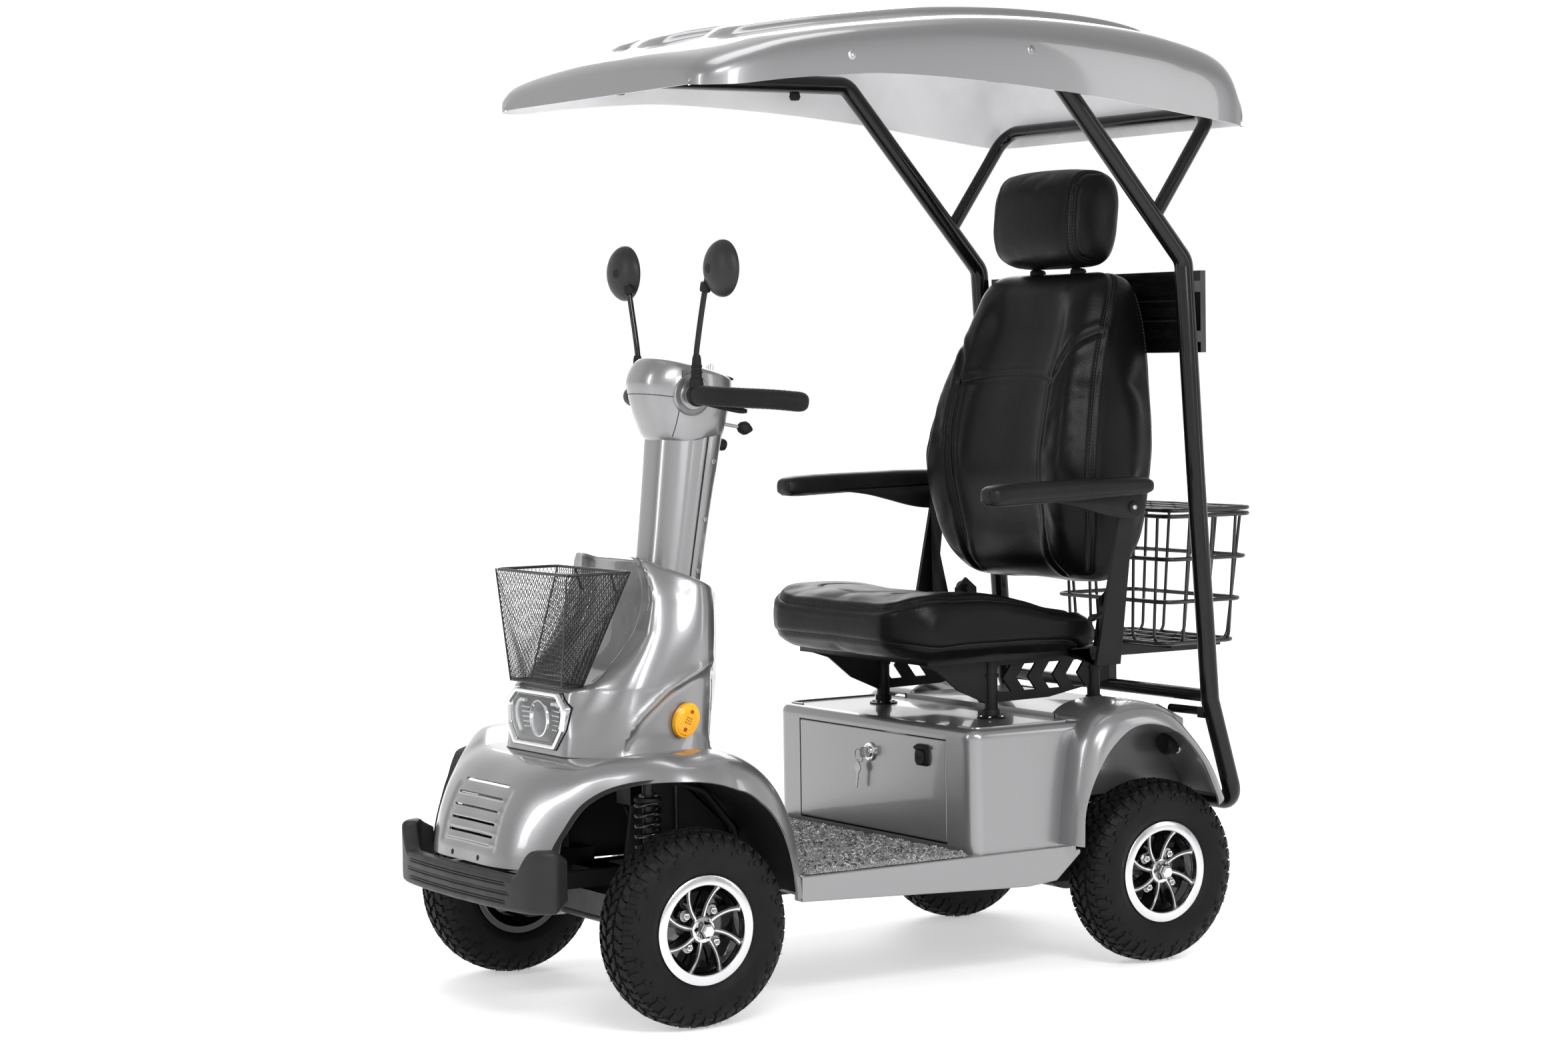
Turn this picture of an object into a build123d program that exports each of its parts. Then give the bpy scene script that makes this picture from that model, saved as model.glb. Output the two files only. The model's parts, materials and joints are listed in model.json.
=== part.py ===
from build123d import *
import os
from math import sin, cos, radians, tan, sqrt, atan2, degrees

# Open four-wheel mobility scooter with a rigid canopy on a tube frame.
# Millimetres.  +X is forward, +Y is the rider's left, +Z is up.
# z = 0 is the ground, x = 0 is midway between the axles, y = 0 is the
# plane of symmetry.

os.makedirs("parts", exist_ok=True)

# ------------------------------------------------------------------ sizes
SHIFT_X = 40.0             # from the axles' middle to the file's origin
HALF_BASE = 488.7          # half the wheelbase
AXLE_Z = 165.0             # axle height, half the 13 inch tyre
FRONT_TRACK = 320.0        # tyre mid plane from the centre plane, front
REAR_TRACK = 300.0         # the same, rear
TYRE_R = 165.0
TYRE_HALF = 50.0           # half the tyre's section width
BEAD_R = 84.0              # where tyre and rim meet
RIM_R = 90.0               # outside of the machined rim lip
LIP_OUT = 44.0             # rim lip plane outboard of the tyre's mid plane
SPINDLE_R = 10.0
FIT = 0.05                 # radial running fit

KING_Y = 250.0             # kingpin line
KING_R = 11.0
ARM = 60.0                 # length of the steering arms
STEER_X, STEER_Z = 331.0, 744.0      # a point on the steering axis
STEER_LEAN = 8.5           # degrees the column leans back

FLOOR_Z = 228.0            # top of the deck
SILL_Y = 322.0
BOX_FRONT, BOX_REAR = -86.0, -328.0
BOX_Y, BOX_TOP = 314.0, 446.0
DOOR_Y = 236.0             # half width of the door under the seat
SHELL = 4.0                # thickness of the moulded body panels

TUBE_R, TUBE_WALL = 17.0, 2.5        # canopy frame tube
FRAME_Y = 312.0            # canopy side frames
ROOF_FRONT, ROOF_REAR, ROOF_Y = 467.0, -664.0, 378.0
ROOF_T = 4.0

PAD_Y = 320.0              # armrests, from the centre plane
ARM_PIN_X, ARM_PIN_Z = -448.0, 822.0
RECLINE_X, RECLINE_Z = -462.0, 648.0
BACK_LEAN = 6.0            # degrees


# ---------------------------------------------------------------- helpers
def block(x0, x1, y0, y1, z0, z1, mode=Mode.ADD):
    with Locations(((x0 + x1) / 2, (y0 + y1) / 2, (z0 + z1) / 2)):
        Box(x1 - x0, y1 - y0, z1 - z0, mode=mode)


def rod(p, q, r, mode=Mode.ADD):
    # straight round bar from p to q
    p, q = Vector(*p), Vector(*q)
    with BuildSketch(Plane(origin=p, z_dir=(q - p))) as sk:
        Circle(r)
    extrude(sk.sketch, amount=(q - p).length, mode=mode)


def pipe(points, bend, r, mode=Mode.ADD, close=False):
    # round bar along a bent line
    with BuildLine() as run:
        FilletPolyline(*points, radius=bend, close=close)
    path = run.wires()[0]
    with BuildSketch(Plane(origin=path @ 0, z_dir=path % 0)) as sk:
        Circle(r)
    sweep(sk.sketch, path=path, mode=mode)


def outline(plane, points, bend=0):
    # face on a plane from a list of corners
    with BuildSketch(plane) as sk:
        with BuildLine() as ln:
            if bend:
                FilletPolyline(*points, radius=bend, close=True)
            else:
                Polyline(*points, close=True)
        make_face(ln.edges())
    return sk.sketch


def side(points, y0, y1, mode=Mode.ADD, bend=0):
    # outline given as (x, z), carried from y0 to y1
    extrude(outline(Plane.XZ.offset(-y1), points, bend), amount=y1 - y0,
            mode=mode)


def plan(points, z0, z1, mode=Mode.ADD, bend=0):
    # outline given as (x, y), carried from z0 to z1
    extrude(outline(Plane.XY.offset(z0), points, bend), amount=z1 - z0,
            mode=mode)


def across(points, x0, x1, mode=Mode.ADD):
    # outline given as (y, z), carried from x0 to x1
    extrude(outline(Plane.YZ.offset(x0), points), amount=x1 - x0, mode=mode)


def spin(points, centre, mode=Mode.ADD):
    # profile given as (y from centre, radius), turned about a y axis
    face = outline(Plane(origin=centre, x_dir=(0, 1, 0), z_dir=(1, 0, 0)),
                   points)
    revolve(face, axis=Axis(centre, (0, 1, 0)), revolution_arc=360, mode=mode)


def save(builder, name):
    # the file's origin is under the middle of the whole scooter
    piece = Location((SHIFT_X, 0, 0)) * builder.part
    piece.label = name
    export_step(piece, "parts/" + name + ".step")


def steer_x(z):
    # where the steering axis is at a height
    return STEER_X + (STEER_Z - z) * tan(radians(STEER_LEAN))


def mirrored(points):
    return list(points) + [(x, -y) for x, y in reversed(points)]


# ================================================================= wheels
# columns: name, x, tyre mid plane y, outboard direction
WHEELS = [
    ("front_left", HALF_BASE, FRONT_TRACK, 1),
    ("front_right", HALF_BASE, -FRONT_TRACK, -1),
    ("rear_left", -HALF_BASE, REAR_TRACK, 1),
    ("rear_right", -HALF_BASE, -REAR_TRACK, -1),
]
# tyre section, columns: offset from the mid plane, radius
TYRE = [(-30, 86), (-44, 96), (-50, 122), (-45, 144), (-33, 158), (-15, 165),
        (15, 165), (33, 158), (45, 144), (50, 122), (44, 96), (30, 86)]
HUB_BORE = 13.0
for tag, wx, wy, out in WHEELS:
    with BuildPart() as tyre:
        spin([(o, r) for o, r in TYRE], (wx, wy, AXLE_Z))
        spin([(-31, 0), (-31, BEAD_R), (31, BEAD_R), (31, 0)],
             (wx, wy, AXLE_Z), mode=Mode.SUBTRACT)
        spin([(-38, 84), (-43, 110), (-36, 138), (0, 150), (36, 138),
              (43, 110), (38, 84)], (wx, wy, AXLE_Z), mode=Mode.SUBTRACT)
    save(tyre, "tyre_" + tag)
    with BuildPart() as rim:
        # barrel with lips, a spoked disc near the outside and a hub
        spin([(-44, 90), (-44, 82), (-26, 68), (26, 68), (44, 82), (44, 90),
              (39, 90), (39, 83.7), (-39, 83.7), (-39, 90)],
             (wx, wy, AXLE_Z))
        for k in range(8):
            a = 45 * k + 12
            with BuildSketch(Plane(origin=(wx, wy + out * 12, AXLE_Z),
                                   x_dir=(1, 0, 0), z_dir=(0, out, 0))):
                with PolarLocations(0, 1, start_angle=a):
                    with Locations((44, 0)):
                        Rectangle(58, 13)
            extrude(amount=14)
        a0, a1 = (-34, 30) if out > 0 else (-30, 34)
        spin([(a0, 0), (a0, 30), (a1, 30), (a1, 0)], (wx, wy, AXLE_Z))
        # hub cap standing outboard
        h0, h1, h2 = 30 * out, 42 * out, 54 * out
        spin([(h0 - 2 * out, 0), (h0 - 2 * out, 24), (h1, 21), (h2, 9),
              (h2, 0)], (wx, wy, AXLE_Z))
        # bearing bore, open on the inboard side
        b0, b1 = (-36, 24) if out > 0 else (-24, 36)
        spin([(b0, 0), (b0, HUB_BORE), (b1, HUB_BORE), (b1, 0)],
             (wx, wy, AXLE_Z), mode=Mode.SUBTRACT)
    save(rim, "rim_" + tag)

# =============================================================== knuckles
# columns: name, side
for tag, s in (("left", 1), ("right", -1)):
    ky = KING_Y * s
    with BuildPart() as knuckle:
        # kingpin barrel, stub axle and forward-pointing steering arm
        rod((HALF_BASE, ky, 128), (HALF_BASE, ky, 202), 17)
        rod((HALF_BASE, ky, AXLE_Z),
            (HALF_BASE, (FRONT_TRACK + 20) * s, AXLE_Z), HUB_BORE - FIT)
        rod((HALF_BASE, ky, AXLE_Z), (HALF_BASE, 268 * s, AXLE_Z), 20)
        block(HALF_BASE - ARM, HALF_BASE, ky - 9, ky + 9, 132, 144)
        rod((HALF_BASE - ARM, ky, 117), (HALF_BASE - ARM, ky, 144), 5)
        rod((HALF_BASE - ARM, ky, 132), (HALF_BASE - ARM, ky, 144), 11)
        rod((HALF_BASE, ky, 120), (HALF_BASE, ky, 210), KING_R + FIT,
            mode=Mode.SUBTRACT)
    save(knuckle, "knuckle_" + tag)

with BuildPart() as tie_rod:
    rod((HALF_BASE - ARM, -KING_Y + 14, 117), (HALF_BASE - ARM, KING_Y - 14,
        117), 6)
    for s in (1, -1):
        # cup that holds the ball end of the steering arm
        rod((HALF_BASE - ARM, KING_Y * s, 107),
            (HALF_BASE - ARM, KING_Y * s, 126), 17)
        rod((HALF_BASE - ARM, KING_Y * s, 112),
            (HALF_BASE - ARM, KING_Y * s, 127), 12.5, mode=Mode.SUBTRACT)
save(tie_rod, "tie_rod")

# ======================================================== front suspension
SPRING_X, SPRING_Y = 492.0, 186.0
with BuildPart() as front_suspension:
    # cross beam, two arms a side, kingpin forks and pins
    block(HALF_BASE - 24, HALF_BASE + 24, -150, 150, 150, 190)
    for s in (1, -1):
        y0, y1 = sorted((140 * s, (KING_Y - 24) * s))
        block(HALF_BASE - 20, HALF_BASE + 20, y0, y1, 156, 184)
        y0, y1 = sorted(((KING_Y - 34) * s, (KING_Y - 22) * s))
        block(HALF_BASE - 18, HALF_BASE + 18, y0, y1, 112, 216)
        for z0, z1 in ((112, 124), (206, 216)):
            y0, y1 = sorted(((KING_Y - 34) * s, (KING_Y + 15) * s))
            block(HALF_BASE - 16, HALF_BASE + 16, y0, y1, z0, z1)
        rod((HALF_BASE, KING_Y * s, 112), (HALF_BASE, KING_Y * s, 216), KING_R)
        # spring seat
        rod((SPRING_X, SPRING_Y * s, 182), (SPRING_X, SPRING_Y * s, 200), 24)
        rod((SPRING_X, SPRING_Y * s, 182), (SPRING_X, SPRING_Y * s, 398), 10)
save(front_suspension, "front_suspension")

# ============================================================ rear axle
R_SPRING_X, R_SPRING_Y = -420.0, 205.0
with BuildPart() as rear_axle:
    rod((-HALF_BASE, -212, AXLE_Z), (-HALF_BASE, 212, AXLE_Z), 24)
    rod((-HALF_BASE, -(REAR_TRACK + 20), AXLE_Z),
        (-HALF_BASE, REAR_TRACK + 20, AXLE_Z), HUB_BORE - FIT)
    rod((-HALF_BASE, -60, AXLE_Z), (-HALF_BASE, 60, AXLE_Z), 66)
    rod((-HALF_BASE + 90, -20, AXLE_Z + 8), (-HALF_BASE + 90, 124, AXLE_Z + 8),
        48)
    block(-HALF_BASE, -HALF_BASE + 100, -50, 40, AXLE_Z - 44, AXLE_Z + 58)
    for s in (1, -1):
        # trailing arms
        y0, y1 = sorted((188 * s, 212 * s))
        side([(-HALF_BASE - 28, 150), (-HALF_BASE - 28, 186),
              (-HALF_BASE + 60, 184), (-176, 168), (-176, 148),
              (-HALF_BASE + 20, 142)], y0, y1)
        rod((R_SPRING_X, R_SPRING_Y * s, 160),
            (R_SPRING_X, R_SPRING_Y * s, 196), 20)
        rod((R_SPRING_X, R_SPRING_Y * s, 190),
            (R_SPRING_X, R_SPRING_Y * s, 360), 9)
save(rear_axle, "rear_axle")

# ============================================================== springs
# columns: x, y, bottom z, top z, coil radius
SPRINGS = [
    (SPRING_X, SPRING_Y, 201.0, 372.0, 25.0),
    (SPRING_X, -SPRING_Y, 201.0, 372.0, 25.0),
    (R_SPRING_X, R_SPRING_Y, 197.0, 330.0, 22.0),
    (R_SPRING_X, -R_SPRING_Y, 197.0, 330.0, 22.0),
]
WIRE_R = 4.0
with BuildPart() as springs:
    for sx, sy, z0, z1, cr in SPRINGS:
        turns = 7
        pitch = (z1 - z0 - 2 * WIRE_R - 2) / turns
        for k in range(turns + 1):
            zc = z0 + WIRE_R + 1 + pitch * k
            with BuildSketch(Plane(origin=(sx, sy, zc), x_dir=(1, 0, 0),
                                   z_dir=(0, -1, 0))):
                with Locations((cr - WIRE_R, 0)):
                    Circle(WIRE_R)
            revolve(axis=Axis((sx, sy, zc), (0, 0, 1)), revolution_arc=360)
        # thin web that ties the coils to one another
        for a in (0, 180):
            x0 = sx + (cr - WIRE_R) * cos(radians(a))
            rod((x0, sy, z0), (x0, sy, z1), 2.5)
save(springs, "springs")

# ======================================================== chassis frame
RAIL_Y, RAIL_T = 150.0, 20.0
with BuildPart() as chassis_frame:
    for s in (1, -1):
        y0, y1 = sorted(((RAIL_Y - RAIL_T) * s, (RAIL_Y + RAIL_T) * s))
        # floor rail, front leg and rear upsweep
        block(-338, 440, y0, y1, 172, 212)
        side([(400, 172), (440, 172), (470, 212), (470, 400), (430, 400),
              (430, 212)], y0, y1)
        side([(-338, 172), (-330, 212), (-338, 290), (-668, 290),
              (-668, 256), (-372, 256), (-360, 212), (-350, 172)], y0, y1)
        # spring towers
        y0, y1 = sorted((128 * s, 218 * s))
        block(SPRING_X - 30, SPRING_X + 30, y0, y1, 398, 408)
        block(430, SPRING_X + 30, y0, y1, 398, 408)
        block(430, 470, min(128 * s, 150 * s), max(128 * s, 150 * s), 380, 408)
        y0, y1 = sorted((150 * s, 230 * s))
        block(R_SPRING_X - 26, R_SPRING_X + 26, y0, y1, 360, 370)
        y0, y1 = sorted((150 * s, 168 * s))
        block(R_SPRING_X - 26, R_SPRING_X + 26, y0, y1, 280, 370)
        # hangers of the trailing arms
        y0, y1 = sorted((168 * s, 216 * s))
        block(-196, -166, y0, y1, 172, 212)
        # bumper stays
        y0, y1 = sorted((110 * s, 130 * s))
        block(430, 729, y0, y1, 216, 244)
    for x0, x1 in ((396, 440), (90, 120), (-190, -160)):
        block(x0, x1, -RAIL_Y, RAIL_Y, 172, 212)
    block(-600, -570, -RAIL_Y, RAIL_Y, 256, 290)
    block(-362, -336, -RAIL_Y, RAIL_Y, 256, 290)
    block(440, 466, -130, 130, 190, 214)
    block(430, 470, -150, 150, 380, 400)
    # head tube of the steering shaft
    rod((steer_x(222), 0, 222), (steer_x(388), 0, 388), 24)
    block(384, 432, -24, 24, 330, 392)
    rod((steer_x(212.5), 0, 212.5), (steer_x(412), 0, 412), 14 + FIT,
        mode=Mode.SUBTRACT)
save(chassis_frame, "chassis_frame")

# ================================================================ floor
with BuildPart() as floor_pan:
    plan(mirrored([(275, 250), (275, SILL_Y), (-306, SILL_Y), (-318, 240),
                   (-326, 200)]), 212, FLOOR_Z)
    # side sills, deeper at the front, with a rear end that sweeps up
    for s in (1, -1):
        y0, y1 = sorted(((SILL_Y - 26) * s, SILL_Y * s))
        side([(275, 220), (275, 184), (-200, 163), (-262, 168), (-316, 212),
              (-316, 220)], y0, y1)
save(floor_pan, "floor_pan")

with BuildPart() as floor_mat:
    plan(mirrored([(262, 232), (254, SILL_Y - 30), (-50, SILL_Y - 6),
                 (-76, SILL_Y - 20), (-76, 100)]), FLOOR_Z, FLOOR_Z + 8)
save(floor_mat, "floor_mat")

# ======================================================== front fender
ARCH_IN = 150.0
# outline of the skin, columns: x, z
FEN_OUT = [(276, 196), (284, 262), (300, 330), (330, 390), (372, 430),
           (425, 450), (590, 450), (640, 443), (676, 424), (704, 390),
           (724, 345), (738, 290), (742, 262)]
FEN_IN = [(280.5, 190), (288.5, 261), (304, 328), (333.5, 387), (374, 426),
          (426, 446), (590, 446), (638, 439), (673, 421), (700, 388),
          (720, 344), (734, 290), (738, 250)]
# plan of one nose corner, columns: x, y
NOSE = [(742, 84), (732, 134), (708, 180), (676, 222), (642, 262),
        (612, 300), (578, 340), (545, 374)]
# crown across the width, columns: y, drop below the outline's top
CROWN = [(186, 16), (220, 6), (262, 0), (304, 0), (342, 14), (366, 34),
         (374, 58)]


def fender_block(t):
    # solid nose block, rounded in plan and across the crown
    pts = FEN_OUT if t == 0 else FEN_IN
    z0 = 196 if t == 0 else 180
    end = 742 if t == 0 else 738
    start = [] if t == 0 else [(281, 180)]
    side(start + pts + [(end, z0)], -374 + t, 374 - t)
    for s in (1, -1):
        plan([(900, (84 - t) * s)]
             + [(x - t * 0.7, (y - t * 0.7) * s) for x, y in NOSE]
             + [(545 - t, 400 * s), (900, 400 * s)], 100, 600,
             mode=Mode.SUBTRACT)
        plan([(200, (330 - t) * s), (276 + t, (330 - t) * s),
              (300 + t, (352 - t) * s), (330 + t, (374 - t) * s),
              (330 + t, 400 * s), (200, 400 * s)], 100, 600,
             mode=Mode.SUBTRACT)
        top = [((y - t * 0.8) * s, 450 - d - t) for y, d in CROWN[3:]]
        across([top[0]] + top[1:] + [(400 * s, top[-1][1]), (400 * s, 500),
                                     (top[0][0], 500)], 200, 800,
               mode=Mode.SUBTRACT)
    flat = [((y + t * 0.5), 450 - d - t) for y, d in CROWN[:3]]
    across(flat + [(flat[-1][0], 500), (-flat[-1][0], 500)]
           + [(-y, z) for y, z in reversed(flat)], 200, 800,
           mode=Mode.SUBTRACT)


with BuildPart() as front_fender:
    fender_block(0)
with BuildPart() as fender_core:
    fender_block(SHELL)
# arch line, columns: x, z
ARCH = [(306, 150), (306, 208), (314, 255), (338, 313), (376, 361),
        (440, 397), (515, 412), (590, 403), (638, 372), (668, 325),
        (684, 290), (690, 262), (690, 150)]
with BuildPart() as fender_skin:
    add(front_fender.part)
    add(fender_core.part, mode=Mode.SUBTRACT)
    for s in (1, -1):
        y0, y1 = sorted((215 * s, 400 * s))
        side(ARCH, y0, y1, mode=Mode.SUBTRACT)
    # lower edge of the nose
    block(600, 900, -400, 400, 100, 262, mode=Mode.SUBTRACT)
    # column opening under the cowl
    block(350, 560, -104, 104, 400, 470, mode=Mode.SUBTRACT)
    # louvre slots
    for k in range(5):
        z = 300 + 20 * k
        block(690, 860, -84, 84, z - 4, z + 4, mode=Mode.SUBTRACT)
    # inner panels that carry the skin on the frame
    for s in (1, -1):
        y0, y1 = sorted((170 * s, 174 * s))
        side([(282, 213), (430, 213), (430, 431), (374, 424), (333, 386),
              (304, 328), (290, 262)], y0, y1)
    block(426, 430, -174, 174, 401, 431)
    # clearance for the floor rails
    block(200, 300, -174, 174, 100, 213, mode=Mode.SUBTRACT)
save(fender_skin, "front_fender")

# ========================================================== front cowl
# sections of the shell, columns: z, front x, rear x, half width at front,
# half width at the middle, half width at the rear, rearmost x on the centre
# plane
COWL = [
    (340, 600, 352, 118, 184, 176, 292),
    (434.5, 603, 354, 120, 184, 176, 262),
    (545, 588, 346, 112, 178, 174, 246),
    (547, 556, 346, 124, 178, 174, 246),
    (640, 478, 340, 122, 168, 172, 244),
    (716, 462, 336, 118, 150, 160, 244),
    (774, 452, 340, 92, 112, 116, 246),
]


def cowl_section(z, fx, rx, wf, wm, wr, back, t=0.0):
    back += t
    fx, rx, wf, wm, wr = fx - t, rx + t, wf - t * 0.8, wm - t, wr - t
    mx = fx - (fx - rx) * 0.42
    half = [(fx, wf), (mx + 40, wm - 8), (mx, wm), (rx + 24, wr),
            (rx, wr - 26), (back, 74 - t)]
    return outline(Plane.XY.offset(z), half
                   + [(x, -y) for x, y in reversed(half)]).face()


def cowl_slope(t, mode=Mode.SUBTRACT):
    side([(474, 773 - t), (200, 653 - t), (200, 900), (474, 900)],
         -300, 300, mode=mode)


with BuildPart() as front_cowl:
    loft([cowl_section(*row) for row in COWL], ruled=True)
    cowl_slope(0)
with BuildPart() as cowl_core:
    loft([cowl_section(row[0] + dz, *row[1:], t=SHELL)
          for row, dz in zip(COWL, (-1, 0, -SHELL, -SHELL + 1, 0, 0, -SHELL))],
         ruled=True)
    cowl_slope(SHELL * 1.1)
# headlight bezel outline, columns: y, z from the centre
HL_X, HL_Z = 582.0, 491.0
HL_OUT = [(-78, 50), (78, 50), (106, 26), (100, -14), (74, -48), (-74, -48),
          (-100, -14), (-106, 26)]


def lamp(x0, x1, scale_y=1.0, scale_z=1.0, mode=Mode.ADD):
    face = outline(Plane(origin=(x0, 0, HL_Z), x_dir=(0, 1, 0),
                         z_dir=(1, 0, 0)),
                   [(y * scale_y, z * scale_z) for y, z in HL_OUT])
    extrude(face, amount=x1 - x0, mode=mode)


def marker(s, mode=Mode.ADD):
    with BuildSketch(Plane(origin=(412, 174 * s, 490), x_dir=(-s, 0, 0),
                           z_dir=(0, s, 0))) as sk:
        Ellipse(22, 30, rotation=-20)
    extrude(sk.sketch, amount=16, mode=mode)


with BuildPart() as cowl_shell:
    add(front_cowl.part)
    add(cowl_core.part, mode=Mode.SUBTRACT)
    add(front_fender.part, mode=Mode.SUBTRACT)
    # opening round the steering column
    with BuildSketch(Plane.XY.offset(640)) as sk:
        with Locations((STEER_X + 2, 0)):
            Circle(74)
    extrude(sk.sketch, amount=170, mode=Mode.SUBTRACT)
    # seats of the headlight and of the side markers
    lamp(HL_X, HL_X + 40, mode=Mode.SUBTRACT)
    for s in (1, -1):
        marker(s, mode=Mode.SUBTRACT)
save(cowl_shell, "front_cowl")

# ------------------------------------------------------------- headlight
with BuildPart() as headlight:
    lamp(HL_X, HL_X + 24)
    lamp(HL_X + 8, HL_X + 30, 0.84, 0.76, mode=Mode.SUBTRACT)
save(headlight, "headlight")
with BuildPart() as headlight_lens:
    lamp(HL_X + 16, HL_X + 20, 0.84, 0.76)
save(headlight_lens, "headlight_lens")

# -------------------------------------------------------- side markers
with BuildPart() as side_markers:
    for s in (1, -1):
        marker(s)
save(side_markers, "side_markers")

# ============================================================= bumper
with BuildPart() as front_bumper:
    ends = [(676, 252), (704, 254), (728, 240), (750, 190)]
    back = [(738, 0), (733, 120), (716, 196), (700, 226), (676, 234)]
    plan(ends + [(764, 0)] + [(x, -y) for x, y in reversed(ends)]
         + [(x, -y) for x, y in reversed(back)] + back[1:], 198, 258)
    for s in (1, -1):
        # upturned horns
        plan([(676, 252 * s), (704, 254 * s), (728, 240 * s), (734, 222 * s),
              (714, 208 * s), (700, 226 * s), (676, 234 * s)], 258, 306)
        y0, y1 = sorted((106 * s, 134 * s))
        block(729, 745, y0, y1, 212, 248)
    # three long grooves
    for z in (214, 229, 244):
        block(757, 800, -96, 96, z - 2, z + 2, mode=Mode.SUBTRACT)
save(front_bumper, "front_bumper")

# ======================================================= front basket
# columns: z, rear x, front x, half width at rear, half width at front
BASKET = [(549, 560, 600, 92, 92), (742, 484, 606, 128, 128)]
with BuildPart() as front_basket:
    for z, rx, fx, wr, wf in BASKET:
        with BuildSketch(Plane.XY.offset(z)):
            Polygon((rx, -wr), (fx, -wf), (fx, wf), (rx, wr), align=None)
    loft(ruled=True)
with BuildPart() as basket_hollow:
    for (z, rx, fx, wr, wf), dz in zip(BASKET, (3, 2)):
        with BuildSketch(Plane.XY.offset(z + dz)):
            Polygon((rx + 2, -wr + 2), (fx - 2, -wf + 2), (fx - 2, wf - 2),
                    (rx + 2, wr - 2), align=None)
    loft(ruled=True)
with BuildPart() as basket_shell:
    add(front_basket.part)
    add(basket_hollow.part, mode=Mode.SUBTRACT)
save(basket_shell, "front_basket")

# ======================================================== battery box
with BuildPart() as battery_box:
    # hollow box under the seat, open below and at the door
    block(BOX_REAR, BOX_FRONT, -BOX_Y, BOX_Y, FLOOR_Z, BOX_TOP)
    fillet(battery_box.edges().filter_by(Axis.Z).group_by(Axis.X)[-1],
           radius=28)
    fillet(battery_box.faces().sort_by(Axis.Z)[-1].edges(), radius=16)
    block(BOX_REAR, BOX_FRONT - SHELL, -BOX_Y + SHELL + 6, BOX_Y - SHELL - 6,
          FLOOR_Z - 1, BOX_TOP - 10, mode=Mode.SUBTRACT)
    block(BOX_FRONT - 12, BOX_FRONT + 1, -DOOR_Y, DOOR_Y,
          FLOOR_Z + 11, BOX_TOP - 22, mode=Mode.SUBTRACT)
    # tail section over the axle
    side([(BOX_REAR, BOX_TOP + 8), (BOX_REAR, BOX_TOP - 2), (-560, BOX_TOP - 2),
          (-614, 416), (-614, 300), (-622, 300), (-622, 424),
          (-564, BOX_TOP + 8)], -236, 236)
    for s in (1, -1):
        y0, y1 = sorted((232 * s, 236 * s))
        side([(BOX_REAR + 2, BOX_TOP), (BOX_REAR + 2, 232), (-352, 232),
              (-370, 300), (-620, 300), (-620, 424), (-564, BOX_TOP + 8),
              (BOX_REAR + 2, BOX_TOP + 8)], y0, y1)
save(battery_box, "battery_box")

with BuildPart() as battery_pack:
    block(-312, -124, -176, 176, FLOOR_Z, FLOOR_Z + 168)
save(battery_pack, "battery_pack")

# ----------------------------------------------------------- tail lamps
# round lamps that look out of the rear slope of each fender
LAMP_Y, LAMP_Z, LAMP_R = 262.0, 384.0, 22.0
with BuildPart() as tail_lamps:
    for s in (1, -1):
        rod((-588, LAMP_Y * s, LAMP_Z), (-552, LAMP_Y * s, LAMP_Z), LAMP_R)
save(tail_lamps, "tail_lamps")

# ------------------------------------------------------ rear fenders
# crown of the fender, columns: x, z
R_CROWN = [(-272, 232), (-284, 340), (-302, 420), (-340, 462), (-395, 476),
           (-458, 474), (-503, 456), (-549, 414), (-595, 356), (-624, 296)]
R_INNER = [(-278, 232), (-290, 338), (-308, 416), (-344, 457), (-396, 471),
           (-456, 469), (-499, 452), (-545, 411), (-590, 353), (-618, 293)]
with BuildPart() as rear_fenders:
    for s in (1, -1):
        y0, y1 = sorted((236 * s, 374 * s))
        side(R_CROWN + list(reversed(R_INNER)), y0, y1)
        # outer flange with the wheel arch
        y0, y1 = sorted((370 * s, 374 * s))
        side(R_CROWN + [(-590, 292), (-548, 372), (-500, 418), (-440, 438),
                        (-395, 434), (-350, 404), (-318, 362), (-296, 300),
                        (-290, 232)], y0, y1)
        # seat of the tail lamp
        rod((-640, LAMP_Y * s, LAMP_Z), (-520, LAMP_Y * s, LAMP_Z),
            LAMP_R + 0.3, mode=Mode.SUBTRACT)
    # the box side passes between the two fenders
    block(BOX_REAR, 0, -BOX_Y, BOX_Y, 100, 600, mode=Mode.SUBTRACT)
save(rear_fenders, "rear_fenders")

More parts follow.
